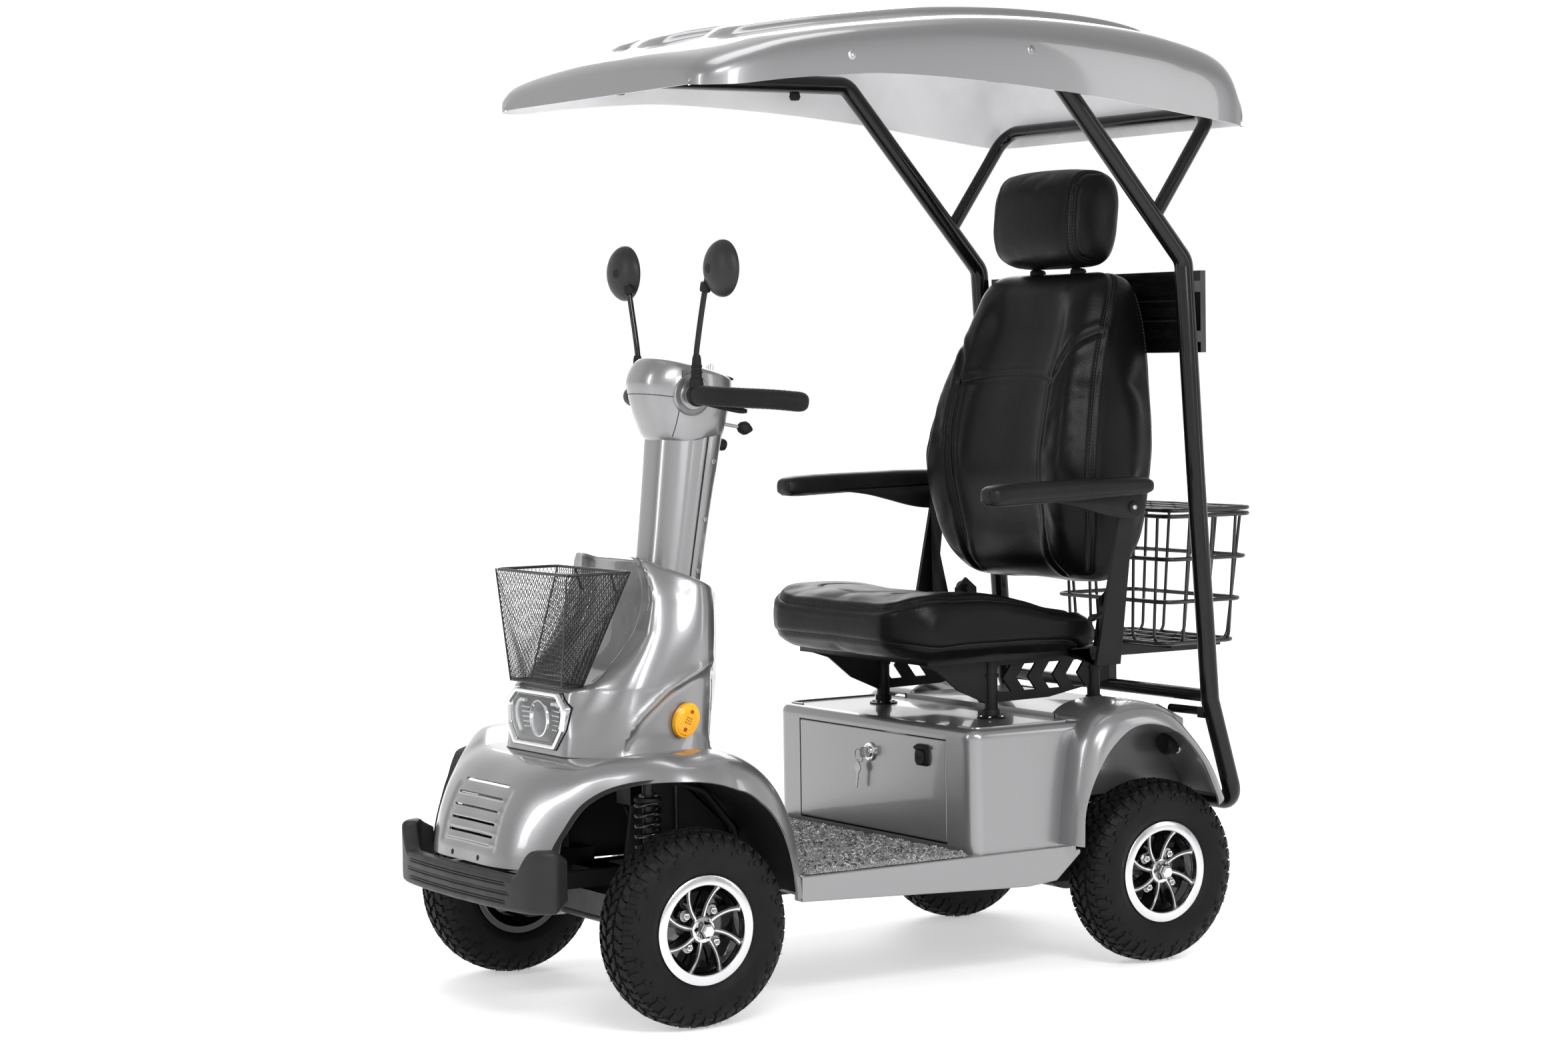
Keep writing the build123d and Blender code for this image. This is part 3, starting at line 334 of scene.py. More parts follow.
M = {}
M["silver"] = silver("silver_paint", base=0.235, flake=0.022, rough=0.30)
# painted shade: a darker copy of the silver paint, for silver that sits in shadow
M["silver_dark"] = silver("silver_paint_shade", base=0.22, rough=0.3)
M["roof_out"] = silver("roof_silver_out", base=0.215, flake=0.010, rough=0.36)
M["roof_in"] = plain("roof_white_in", (0.78, 0.78, 0.79), 0.42, vary=0.04, grain=500, strength=0.05)
M["tube"] = plain("black_tube_gloss", (0.003, 0.003, 0.0032), 0.22, grain=380, strength=0.05, dist=0.0004, coat=0.18, spec=0.2)
M["frame"] = plain("frame_satin_black", (0.006, 0.006, 0.006), 0.42, grain=500, strength=0.12, spec=0.18)
M["axle"] = plain("axle_black", (0.016, 0.016, 0.017), 0.46, metallic=0.2, grain=320, strength=0.15)
M["plastic"] = plain("bumper_plastic", (0.017, 0.017, 0.018), 0.44, spec=0.22, grain=1400, strength=0.22, dist=0.0002, vary=0.12)
M["plastic_dark"] = plain("liner_plastic", (0.007, 0.007, 0.0073), 0.55, grain=900, strength=0.2, spec=0.18)
M["foam"] = plain("grip_foam", (0.0055, 0.0055, 0.006), 0.62, spec=0.15, grain=1600, strength=0.30, dist=0.0004, sheen=0.08)
M["pad"] = plain("armrest_skin", (0.005, 0.005, 0.0053), 0.42, spec=0.18, grain=900, strength=0.16, dist=0.0004)
M["tyre"] = plain("tyre_rubber", (0.0046, 0.0045, 0.0045), 0.55, spec=0.15, grain=420, strength=0.22, dist=0.0006, vary=0.3)
M["rim_black"] = plain("rim_gloss_black", (0.004, 0.004, 0.004), 0.10, grain=200, strength=0.0, coat=0.8)
M["rim_cut"] = plain("rim_machined", (0.62, 0.62, 0.63), 0.24, metallic=1.0, grain=900, strength=0.05, vary=0.05)
M["chrome"] = plain("chrome_bright", (0.72, 0.72, 0.73), 0.09, metallic=1.0, grain=300, strength=0.0, vary=0.03, rvary=0.03)
M["steel"] = plain("zinc_steel", (0.33, 0.33, 0.335), 0.34, metallic=0.9, grain=500, strength=0.12)
M["spring"] = plain("spring_black", (0.006, 0.006, 0.006), 0.24, grain=400, strength=0.05, coat=0.3)
M["leather"] = leather_mat("seat_leather")
M["leather_perf"] = leather_mat("seat_leather_perforated", True)
M["stitch"] = plain("thread_black", (0.012, 0.012, 0.012), 0.55, grain=3000, strength=0.3)
M["mat"] = mat_pile("mat_loop_pile")
M["lens"] = lens_mat("lens_clear", (0.97, 0.98, 0.99), 0.02, 1.0)
M["amber"] = lens_mat("amber_plastic", (1.0, 0.44, 0.004), 0.14, 0.10)
M["amber_deep"] = lens_mat("amber_shade", (0.32, 0.07, 0.002), 0.2, 0.1)
M["red"] = lens_mat("red_plastic", (0.55, 0.012, 0.01), 0.12, 0.3, grid=60)
M["wire"] = plain("wire_coated", (0.008, 0.008, 0.008), 0.34, grain=700, strength=0.1)
M["battery"] = plain("battery_case", (0.03, 0.03, 0.034), 0.5, grain=600, strength=0.15)
M["mirror_face"] = plain("mirror_glass", (0.80, 0.82, 0.84), 0.02, metallic=1.0, grain=100, strength=0.0, vary=0.01, rvary=0.01)
M["pearl"] = plain("light_guide", (0.82, 0.83, 0.85), 0.18, vary=0.03, grain=400, strength=0.05)
M["yarn_light"] = plain("yarn_pale", (0.62, 0.62, 0.61), 0.75, grain=2200, strength=0.3, sheen=0.2)
M["yarn_mid"] = plain("yarn_grey", (0.16, 0.16, 0.165), 0.78, grain=2200, strength=0.3, sheen=0.2)
M["yarn_dark"] = plain("yarn_black", (0.012, 0.012, 0.012), 0.8, grain=2200, strength=0.3, sheen=0.1)
# painted shade: near-black for the dark lines drawn into seams, channels, parting lines and the keyhole, where shade
# falls
M["seam_shade"] = plain("seam_shadow", (0.004, 0.004, 0.004), 0.7, grain=500, strength=0.1)

CAD_LOOK = {
    "chassis_frame": "frame", "floor_pan": "silver", "floor_mat": "mat", "front_fender": "silver",
    "front_cowl": "silver", "front_bumper": "plastic", "headlight": "chrome", "headlight_lens": "lens",
    "side_markers": "amber", "front_basket": "wire", "battery_box": "silver", "battery_pack": "battery",
    "rear_fenders": "silver", "canopy_frame": "tube", "canopy_roof": "roof_out", "cross_panel": "plastic",
    "rear_basket": "wire", "basket_bracket": "tube", "rear_basket_lid": "wire", "front_suspension": "axle",
    "rear_axle": "axle", "springs": "spring", "seat_frame": "frame", "seat_cushion": "leather",
    "seat_back": "leather", "headrest": "leather", "armrest_left": "pad", "armrest_right": "pad",
    "battery_door": "silver", "door_fittings": "chrome", "steering_column": "silver",
    "tiller_head": "silver", "handlebar": "foam", "tiller_controls": "plastic", "mirror_left": "plastic",
    "mirror_right": "plastic", "knuckle_left": "steel", "knuckle_right": "steel", "tie_rod": "steel",
    "tail_lamps": "red",
}
for name, ob in nodes.items():
    look = CAD_LOOK.get(name) or ("tyre" if name.startswith("tyre") else "rim_black")
    ob.data.materials.clear()
    ob.data.materials.append(M[look])


# ---------------------------------------------------------- mesh helpers
def make(name, verts, faces, mat, body, replaces=(), smooth=True, sharp=None, slot=None, mats=None,
         face_mats=None):
    me = bpy.data.meshes.new(name)
    me.from_pydata([W(v) for v in verts], [], [tuple(int(i) for i in f) for f in faces])
    me.validate()
    for m in (mats or [mat]):
        me.materials.append(M[m])
    if face_mats is not None:
        me.polygons.foreach_set("material_index", face_mats)
    ob = bpy.data.objects.new(name, me)
    scene.collection.objects.link(ob)
    shade(ob, smooth, sharp)
    if body:
        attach(ob, body)
    if replaces:
        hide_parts(*[r for r in replaces if r in nodes])
    return ob


def shade(ob, smooth=True, sharp=None):
    me = ob.data
    me.polygons.foreach_set("use_smooth", [smooth] * len(me.polygons))
    if sharp:
        me.set_sharp_from_angle(angle=math.radians(sharp))
    me.update()


def bake(ob):
    dg = bpy.context.evaluated_depsgraph_get()
    dg.update()
    me = bpy.data.meshes.new_from_object(ob.evaluated_get(dg))
    ob.modifiers.clear()
    old = ob.data
    ob.data = me
    bpy.data.meshes.remove(old)
    return ob


def fix_normals(ob):
    bm = bmesh.new()
    bm.from_mesh(ob.data)
    bmesh.ops.remove_doubles(bm, verts=bm.verts, dist=1e-6)
    bmesh.ops.recalc_face_normals(bm, faces=bm.faces)
    bm.to_mesh(ob.data)
    bm.free()


def boolean(ob, cutter, op="DIFFERENCE"):
    m = ob.modifiers.new("cut", "BOOLEAN")
    m.object = cutter
    m.operation = op
    m.solver = "EXACT"
    bake(ob)
    bpy.data.objects.remove(cutter)
    return ob


def bevel(ob, width, seg=3, angle=30.0):
    m = ob.modifiers.new("bevel", "BEVEL")
    m.width = width / 1000
    m.segments = seg
    m.limit_method = "ANGLE"
    m.angle_limit = math.radians(angle)
    m.use_clamp_overlap = True
    return ob


def subdiv(ob, levels=1):
    m = ob.modifiers.new("sub", "SUBSURF")
    m.levels = m.render_levels = levels
    return ob


def solidify(ob, t, offset=-1.0, inner_mat=0):
    m = ob.modifiers.new("thick", "SOLIDIFY")
    m.thickness = t / 1000
    m.offset = offset
    m.material_offset = inner_mat
    m.use_quality_normals = True
    return ob


def cr(points, n, closed=False):
    # smooth curve through points, n samples, even in the chord length
    p = np.array(points, float)
    if closed:
        ext = np.vstack([p[-1], p, p[0], p[1]])
    else:
        ext = np.vstack([2 * p[0] - p[1], p, 2 * p[-1] - p[-2]])
    k = len(ext) - 3
    out = []
    for i in range(k):
        p0, p1, p2, p3 = ext[i:i + 4]
        u = np.linspace(0, 1, 17)[:-1, None]
        t0 = 0.0
        a = max(np.linalg.norm(p1 - p0), 1e-6) ** 0.5
        b_ = max(np.linalg.norm(p2 - p1), 1e-6) ** 0.5
        c_ = max(np.linalg.norm(p3 - p2), 1e-6) ** 0.5
        t1, t2, t3 = a, a + b_, a + b_ + c_
        t = t1 + (t2 - t1) * u
        A1 = (t1 - t) / (t1 - t0) * p0 + (t - t0) / (t1 - t0) * p1
        A2 = (t2 - t) / (t2 - t1) * p1 + (t - t1) / (t2 - t1) * p2
        A3 = (t3 - t) / (t3 - t2) * p2 + (t - t2) / (t3 - t2) * p3
        B1 = (t2 - t) / (t2 - t0) * A1 + (t - t0) / (t2 - t0) * A2
        B2 = (t3 - t) / (t3 - t1) * A2 + (t - t1) / (t3 - t1) * A3
        out.append((t2 - t) / (t2 - t1) * B1 + (t - t1) / (t2 - t1) * B2)
    out = np.vstack(out + ([p[:1]] if closed else [p[-1:]]))
    d = np.r_[0, np.cumsum(np.linalg.norm(np.diff(out, axis=0), axis=1))]
    s = np.linspace(0, d[-1], n + 1 if closed else n)
    res = np.column_stack([np.interp(s, d, out[:, j]) for j in range(out.shape[1])])
    return res[:-1] if closed else res


def grid_faces(nr, nc, close_c=False, close_r=False):
    f = []
    for i in range(nr if close_r else nr - 1):
        for j in range(nc if close_c else nc - 1):
            a = i * nc + j
            b = i * nc + (j + 1) % nc
            c = ((i + 1) % nr) * nc + (j + 1) % nc
            d = ((i + 1) % nr) * nc + j
            f.append((a, b, c, d))
    return f


def loft(name, rings, mat, body, caps=True, **kw):
    # rings of equal length, each closed
    nr, nc = len(rings), len(rings[0])
    v = [tuple(p) for r in rings for p in r]
    f = grid_faces(nr, nc, close_c=True)
    if caps:
        for k, r in ((0, rings[0]), (nr - 1, rings[-1])):
            c = np.mean(np.array(r), axis=0)
            v.append(tuple(c))
            ci = len(v) - 1
            for j in range(nc):
                a, b = k * nc + j, k * nc + (j + 1) % nc
                f.append((b, a, ci) if k == 0 else (a, b, ci))
    ob = make(name, v, f, mat, body, **kw)
    fix_normals(ob)
    return ob


def tube_data(path, r, sides=12, closed=False, caps=True, radii=None, off=0):
    p = np.array(path, float)
    n = len(p)
    tan = np.zeros_like(p)
    if closed:
        tan = np.roll(p, -1, 0) - np.roll(p, 1, 0)
    else:
        tan[1:-1] = p[2:] - p[:-2]
        tan[0], tan[-1] = p[1] - p[0], p[-1] - p[-2]
    tan /= np.maximum(np.linalg.norm(tan, axis=1)[:, None], 1e-9)
    ref = np.array([0, 0, 1.0]) if abs(tan[0][2]) < 0.9 else np.array([1.0, 0, 0])
    u = np.cross(tan[0], ref)
    u /= np.linalg.norm(u)
    v, f = [], []
    us = []
    for i in range(n):
        u = u - tan[i] * np.dot(u, tan[i])
        u /= np.linalg.norm(u)
        us.append(u.copy())
    for i in range(n):
        w = np.cross(tan[i], us[i])
        rr = radii[i] if radii is not None else r
        for k in range(sides):
            a = 2 * math.pi * k / sides
            v.append(tuple(p[i] + rr * (math.cos(a) * us[i] + math.sin(a) * w)))
    for q in grid_faces(n, sides, close_c=True, close_r=closed):
        f.append(tuple(i + off for i in q))
    if caps and not closed:
        f.append(tuple(off + k for k in range(sides))[::-1])
        f.append(tuple(off + (n - 1) * sides + k for k in range(sides)))
    return v, f


def tubes(name, paths, r, mat, body, sides=12, closed=False, **kw):
    v, f = [], []
    for path in paths:
        a, b = tube_data(path, r, sides, closed, off=len(v))
        v += a
        f += b
    return make(name, v, f, mat, body, **kw)


def bend_path(points, radius, step=6.0, closed=False):
    # polyline with rounded corners
    p = [np.array(q, float) for q in points]
    n = len(p)
    out = []
    for i in range(n):
        if not closed and i in (0, n - 1):
            out.append(p[i])
            continue
        a, b, c = p[i - 1], p[i], p[(i + 1) % n]
        d1, d2 = a - b, c - b
        l1, l2 = np.linalg.norm(d1), np.linalg.norm(d2)
        d1, d2 = d1 / l1, d2 / l2
        ang = math.acos(max(-1, min(1, float(np.dot(d1, d2)))))
        cut = min(radius / max(math.tan(ang / 2), 1e-3), 0.48 * l1, 0.48 * l2)
        s, e = b + d1 * cut, b + d2 * cut
        k = 7
        for j in range(k):
            t = j / (k - 1)
            out.append((1 - t) ** 2 * s + 2 * t * (1 - t) * b + t * t * e)
    return np.array(out)


def lathe_data(profile, centre, axis, segs=48, off=0, x_ref=None):
    # profile: (along the axis, radius)
    ax = np.array(axis, float)
    ax /= np.linalg.norm(ax)
    ref = np.array([0, 0, 1.0]) if abs(ax[2]) < 0.9 else np.array([1.0, 0, 0])
    u = np.cross(ax, ref)
    u /= np.linalg.norm(u)
    w = np.cross(ax, u)
    c = np.array(centre, float)
    v = []
    for h, r in profile:
        for k in range(segs):
            a = 2 * math.pi * k / segs
            v.append(tuple(c + ax * h + max(r, 0.001) * (math.cos(a) * u + math.sin(a) * w)))
    f = [tuple(i + off for i in q) for q in grid_faces(len(profile), segs, close_c=True)]
    return v, f


def lathe(name, profile, centre, axis, mat, body, segs=48, **kw):
    v, f = lathe_data(profile, centre, axis, segs)
    ob = make(name, v, f, mat, body, **kw)
    fix_normals(ob)
    return ob


class Batch:
    # many small shapes in one mesh
    def __init__(self):
        self.v, self.f, self.m = [], [], []

    def add(self, vf, mat=0):
        v, f = vf
        o = len(self.v)
        self.v += v
        self.f += [tuple(i + o for i in q) for q in f]
        self.m += [mat] * len(f)

    def lathe(self, profile, centre, axis, segs=24, mat=0):
        self.add(lathe_data(profile, centre, axis, segs), mat)

    def tube(self, path, r, sides=8, mat=0, closed=False, radii=None):
        self.add(tube_data(path, r, sides, closed, radii=radii), mat)

    def make(self, name, mats, body, **kw):
        return make(name, self.v, self.f, mats[0], body, mats=mats, face_mats=self.m, **kw)


def dome(r, h, steps=5):
    # profile of a domed head of radius r that stands h proud
    return [(-0.5, 0.0), (-0.5, r)] + [(h * math.sin(a), r * math.cos(a)) for a in
                                       np.linspace(0, math.pi / 2, steps)]


def refine(node, width, seg=3, angle=25.0, mat=None, sharp=35.0, name=None, weld=0.02):
    # the CAD node's own surface with rounded edges
    src = nodes[node]
    ob = bpy.data.objects.new(name or node + "_skin", src.data.copy())
    scene.collection.objects.link(ob)
    bm = bmesh.new()
    bm.from_mesh(ob.data)
    bmesh.ops.remove_doubles(bm, verts=bm.verts, dist=weld / 1000)
    bmesh.ops.dissolve_limit(bm, angle_limit=math.radians(1.0), verts=bm.verts, edges=bm.edges)
    bm.to_mesh(ob.data)
    bm.free()
    ob.data.materials.clear()
    ob.data.materials.append(M[mat or CAD_LOOK[node]])
    bevel(ob, width, seg, angle)
    bake(ob)
    shade(ob, True, sharp)
    wn = ob.modifiers.new("faces", "WEIGHTED_NORMAL")
    wn.keep_sharp = True
    wn.weight = 80
    bake(ob)
    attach(ob, src["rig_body"])
    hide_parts(node)
    return ob


def smoothstep(a, b, x):
    t = np.clip((x - a) / (b - a), 0, 1)
    return t * t * (3 - 2 * t)


# ============================================================ canopy roof
# columns: x, lower edge z, shoulder z, top z, half width
ROOF = [
    (467, 1546, 1560, 1584, 318),
    (464, 1545, 1563, 1590, 336),
    (457, 1544, 1567, 1598, 350),
    (445, 1544, 1573, 1608, 361),
    (425, 1544.5, 1580, 1618, 370),
    (400, 1546, 1588, 1627, 375),
    (360, 1551, 1600, 1638, 377.5),
    (319, 1556, 1612, 1648, 378),
    (220, 1565, 1630, 1664, 378),
    (120, 1571, 1643, 1677, 378),
    (-90, 1564, 1657, 1700, 378),
    (-322, 1545, 1648, 1706, 378),
    (-520, 1520, 1622, 1690, 378),
    (-630, 1506, 1589, 1655, 376),
    (-664, 1501, 1545, 1610, 366),
]

ROOF_Y = np.array([0, 16, 32, 46, 49, 52, 55, 58, 61, 64, 80, 96, 112, 122, 125, 128, 131, 134, 137, 140, 158, 176, 194,
                   212, 215, 218, 221, 224, 227, 230, 250, 270, 290, 310], float)


def roof():
    rows = []
    for x, lo, sh, top, hw in cr(ROOF, 120):
        g = sh - lo
        half = [(0, top), (0.28 * hw, sh + (top - sh) * 0.96), (0.55 * hw, sh + (top - sh) * 0.82),
                (0.78 * hw, sh + (top - sh) * 0.62), (hw - 30, sh + (top - sh) * 0.40),
                (hw - 11, sh + (top - sh) * 0.14), (hw - 3, sh - g * 0.10), (hw - 0.5, sh - g * 0.30),
                (hw, sh - g * 0.6), (hw - 1, lo)]
        fine = cr(half, 240)
        k_ = int(np.argmin(np.abs(fine[:, 0] - (hw - 30)) + 50 * (np.arange(240) > 200)))
        top_y = ROOF_Y[ROOF_Y < fine[k_, 0] - 6]
        flat_ = [(yy, float(np.interp(yy, fine[:k_ + 1, 0], fine[:k_ + 1, 1]))) for yy in top_y]
        seg_ = fine[k_:]
        dl = np.r_[0, np.cumsum(np.linalg.norm(np.diff(seg_, axis=0), axis=1))]
        sl = np.linspace(0, dl[-1], 18)
        half = flat_ + [(float(np.interp(q, dl, seg_[:, 0])), float(np.interp(q, dl, seg_[:, 1]))) for q in sl]
        while len(half) < len(ROOF_Y) + 18:
            half.insert(len(flat_), ((half[len(flat_) - 1][0] + half[len(flat_)][0]) / 2,
                                     (half[len(flat_) - 1][1] + half[len(flat_)][1]) / 2))
        row = []
        for y, z in half:
            d = 0.0
            for yk, wk, x0 in ((0, 62, 372), (176, 52, 330)):
                e = smoothstep(wk, wk - 13, abs(y - yk))
                # rounded plan at the front end
                x1 = x0 - 26 * (abs(y - yk) / wk) ** 2
                f = smoothstep(x1 + 20, x1 - 20, x) * smoothstep(-600, -540, x)
                d += 13.0 * f * float(e)
            row.append((x, y, z + d))
        rows.append([(x, -y, z) for x, y, z in reversed(row[1:])] + row)
    first = [(x + 1, y * 0.998, min(z, ROOF[0][1] + 1)) for x, y, z in rows[0]]
    last = [(x - 1, y * 0.998, min(z, ROOF[-1][1] + 1)) for x, y, z in rows[-1]]
    mid0 = [(x + 1.5, y, z - (z - ROOF[0][1]) * 0.25) for x, y, z in rows[0]]
    mid1 = [(x - 1.5, y, z - (z - ROOF[-1][1]) * 0.25) for x, y, z in rows[-1]]
    rows = [first, mid0] + rows + [mid1, last]
    nr, nc = len(rows), len(rows[0])
    v = [p for r in rows for p in r]
    ob = make("roof_shell", v, grid_faces(nr, nc), "roof_out", "chassis", ["canopy_roof"],
              mats=["roof_out", "roof_in"], slot="roof_silver")
    if ob.data.polygons[(nr // 2) * (nc - 1) + nc // 2].normal.z < 0:
        ob.data.flip_normals()
    solidify(ob, 4.0, inner_mat=1)
    bake(ob)
    shade(ob, True, 50)
    b = Batch()
    for x, z in ((187, 1599), (-184, 1620)):
        for s in (1, -1):
            b.lathe(dome(8.5, 2.2), (x, 377.5 * s, z), (0, s, 0), 24, 0)
            b.lathe(dome(5.0, 4.6, 4), (x, 377.5 * s, z), (0, s, 0), 6, 0)
    for s in (1, -1):
        b.lathe(dome(8.5, 2.2), (-665.5, 208 * s, 1540), (-1, 0, 0), 24, 0)
        b.lathe(dome(5.0, 4.6, 4), (-665.5, 208 * s, 1540), (-1, 0, 0), 6, 0)
        # rubber buttons under the rails
        for x in (230, -150):
            b.lathe([(0, 0), (0, 9), (10, 11), (16, 8), (17, 0)], (x, 318 * s, 1598), (0, 0, -1), 16, 1)
    b.make("roof_bolts", ["steel", "plastic_dark"], "chassis", sharp=40)


roof()

# ============================================================ front fender
FEN = [(742, 262), (738, 290), (724, 345), (704, 390), (676, 424), (640, 443), (590, 450),
       (508, 450), (425, 450), (372, 430), (330, 390), (300, 330), (284, 262), (276, 196)]
NOSE = [(0, 742), (84, 742), (134, 732), (180, 708), (222, 676), (262, 642), (300, 612), (340, 578),
        (374, 545)]
CROWN = [(0, 16), (120, 16), (186, 14), (220, 6), (262, 0), (304, 0), (342, 12), (362, 30), (374, 58)]
REAR = [(0, 0), (310, 0), (334, 6), (352, 22), (366, 42), (374, 56)]
ARCH = [(306, 208), (314, 255), (338, 313), (376, 361), (440, 397), (515, 412), (590, 403), (638, 372),
        (668, 325), (684, 290), (690, 262)]


def table(rows, x):
    c = cr(rows, 80)
    return np.interp(x, c[:, 0], c[:, 1])


def clip(verts, faces, func, steps=7):
    # keep the side of a sheet where func(point) > 0, with the cut found along each edge
    val = [func(p) for p in verts]
    out_v, out_f, at = list(verts), [], {}

    def cut(i, j):
        key = (min(i, j), max(i, j))
        if key not in at:
            a_, b_ = np.array(verts[i], float), np.array(verts[j], float)
            fa = val[i]
            for _ in range(steps):
                m = (a_ + b_) / 2
                if (func(m) > 0) == (fa > 0):
                    a_ = m
                else:
                    b_ = m
            at[key] = len(out_v)
            out_v.append(tuple((a_ + b_) / 2))
        return at[key]

    for f in faces:
        poly = []
        n = len(f)
        for k in range(n):
            i, j = f[k], f[(k + 1) % n]
            if val[i] > 0:
                poly.append(i)
            if (val[i] > 0) != (val[j] > 0):
                poly.append(cut(i, j))
        if len(poly) > 2:
            out_f.append(tuple(poly))
    used = sorted({i for f in out_f for i in f})
    ren = {o: n_ for n_, o in enumerate(used)}
    return [out_v[i] for i in used], [tuple(ren[i] for i in f) for f in out_f]


def prism(points, y0, y1, name="cutter"):
    # solid from an outline in (x, z)
    n = len(points)
    v = [(x, y0, z) for x, z in points] + [(x, y1, z) for x, z in points]
    f = [tuple(range(n)), tuple(range(2 * n - 1, n - 1, -1))]
    f += [(i, (i + 1) % n, n + (i + 1) % n, n + i) for i in range(n)]
    ob = make(name, v, f, "silver", None, smooth=False)
    fix_normals(ob)
    return ob


def join(obs):
    # several meshes in one
    bm = bmesh.new()
    for o in obs:
        bm.from_mesh(o.data)
    me = bpy.data.meshes.new("joined")
    bm.to_mesh(me)
    bm.free()
    out = bpy.data.objects.new("joined", me)
    scene.collection.objects.link(out)
    for o in obs:
        bpy.data.objects.remove(o)
    return out


def inside_curve(pts, x, z, low):
    # signed distance to a closed outline made of a curve and its two straight legs
    p = np.array(pts)
    d = np.hypot(p[:, 0] - x, p[:, 1] - z).min()
    if z < p[0, 1] and abs(x - p[0, 0]) < d:
        d = abs(x - p[0, 0])
    if z < p[-1, 1] and abs(x - p[-1, 0]) < d:
        d = abs(x - p[-1, 0])
    ins = False
    q = [(p[0, 0], low)] + [tuple(k) for k in p] + [(p[-1, 0], low)]
    j = len(q) - 1
    for i in range(len(q)):
        (xi, zi), (xj, zj) = q[i], q[j]
        if (zi > z) != (zj > z) and x < (xj - xi) * (z - zi) / (zj - zi) + xi:
            ins = not ins
        j = i
    return -d if ins else d


def front_fender():
    prof = cr(FEN, 400)
    # closer rows over the louvres
    dens = np.where((prof[:, 1] < 410) & (prof[:, 0] > 600), 4.0, 1.0)
    cum = np.r_[0, np.cumsum(0.5 * (dens[1:] + dens[:-1]) * np.linalg.norm(np.diff(prof, axis=0), axis=1))]
    s = np.linspace(0, cum[-1], 150)
    prof = np.column_stack([np.interp(s, cum, prof[:, k]) for k in (0, 1)])
    ys = np.r_[np.linspace(0, 104, 22), np.linspace(110, 200, 12), np.linspace(208, 374, 30)]
    ys = np.r_[-ys[::-1][:-1], ys]
    v = []
    for x, z in prof:
        for y in ys:
            a = abs(y)
            nose, drop, rear = table_nose(a), table_crown(a), table_rear(a)
            xx = x
            if x > 425:
                xx = 425 + (x - 425) * (nose - 425) / 317
            else:
                xx = 425 - (425 - x) * (149 - rear) / 149
            zz = z - drop * float(smoothstep(262, 450, z))
            if x > 600 and z < 420:
                # recessed louvre field with five ribs
                field = float(smoothstep(99, 89, a) * smoothstep(282, 290, z) * smoothstep(402, 393, z))
                rib = 0.0
                if 290 < z < 396:
                    t = ((z - 292) % 20.5) / 20.5
                    rib = 3.4 * math.sin(math.pi * min(1, t / 0.62)) ** 2 if t < 0.62 else 0.0
                    rib *= float(smoothstep(88, 78, a))
                xx -= field * 3.6 - field * rib
            v.append((xx, y, zz))
    f = grid_faces(len(prof), len(ys))
    arch = cr(ARCH, 90)

    def keep(p):
        a_ = abs(p[1]) - 214
        if a_ < -8:
            return -a_
        return max(inside_curve(arch, p[0], p[2], 100), -a_)

    v, f = clip(v, f, keep)
    for k in range(5):
        z0 = 308.0 + 20.5 * k

        def slot_at(p, z0=z0):
            if p[0] < 600:
                return 9.0
            return max(abs(p[2] - z0) - 2.2, abs(p[1]) - 77)

        v, f = clip(v, f, slot_at)
    ob = make("fender_front_shell", v, f, "silver", "chassis", ["front_fender"], slot="silver_body")
    me = ob.data
    top = max(me.polygons, key=lambda p: p.center.z)
    if top.normal.z < 0:
        me.flip_normals()
    solidify(ob, 4.0)
    bake(ob)
    shade(ob, True, 38)
    # dark liner inside each arch
    b = Batch()
    c = cr(ARCH, 60)
    for s in (1, -1):
        rows = []
        for x, z in c:
            dx, dz = x - 498, z - 250
            k = math.hypot(dx, dz)
            px, pz = x + dx / k * 5, z + dz / k * 5
            ymax = float(np.interp(x, [306, 330, 440, 590, 640, 690], [345, 352, 352, 316, 250, 212]))
            rows.append([(px, yy * s, pz) for yy in np.linspace(181, ymax, 8)])
        v = [p for r in rows for p in r]
        b.add((v, grid_faces(len(rows), 8)), 0)
        # upright panel between the arch and the frame
        edge = [(310, 212)] + [(float(x), float(z)) for x, z in c[2:26]] + [(430, 400), (430, 214)]
        n = len(edge)
        v = [(x, 181 * s, z) for x, z in edge] + [(x, 178 * s, z) for x, z in edge]
        f = [tuple(range(n)), tuple(range(2 * n - 1, n - 1, -1))]
        f += [(i, (i + 1) % n, n + (i + 1) % n, n + i) for i in range(n)]
        b.add((v, f), 0)
        # folded strap that holds the liner
        b.tube(bend_path([(330, 200 * s, 214), (330, 200 * s, 300), (392, 200 * s, 372), (470, 200 * s, 398)], 30),
               7, 8, 1)
    b.make("arch_liners", ["plastic_dark", "frame"], "chassis", sharp=40)
    b = Batch()
    for y in (-46, 46):
        b.lathe(dome(5.5, 2.0), (741, y, 271), (1, 0, 0.05), 20, 0)
    b.make("nose_clips", ["plastic_dark"], "chassis", sharp=40)


_n, _c, _r = cr(NOSE, 200), cr(CROWN, 200), cr(REAR, 200)


def table_nose(a):
    return float(np.interp(a, _n[:, 0], _n[:, 1]))


def table_crown(a):
    return float(np.interp(a, _c[:, 0], _c[:, 1]))


def table_rear(a):
    return float(np.interp(a, _r[:, 0], _r[:, 1]))


front_fender()

# ============================================================== front cowl
# columns: z, front x, rear x, half width front, middle, rear, rearmost x
COWL = [
    (420, 604, 352, 118, 184, 176, 264),
    (434.5, 603, 354, 120, 184, 176, 262),
    (490, 596, 350, 118, 181, 175, 254),
    (541, 588.5, 346, 117, 178, 174, 246),
    (546, 582, 346, 118, 178, 174, 246),
    (549, 562, 346, 119, 178, 174, 246),
    (580, 530, 343, 122, 175, 173, 245),
    (640, 479, 340, 122, 168, 172, 244),
    (690, 461, 337, 119, 157, 165, 244),
    (730, 459, 337, 112, 142, 154, 244),
    (774, 466, 340, 92, 112, 116, 246),
]


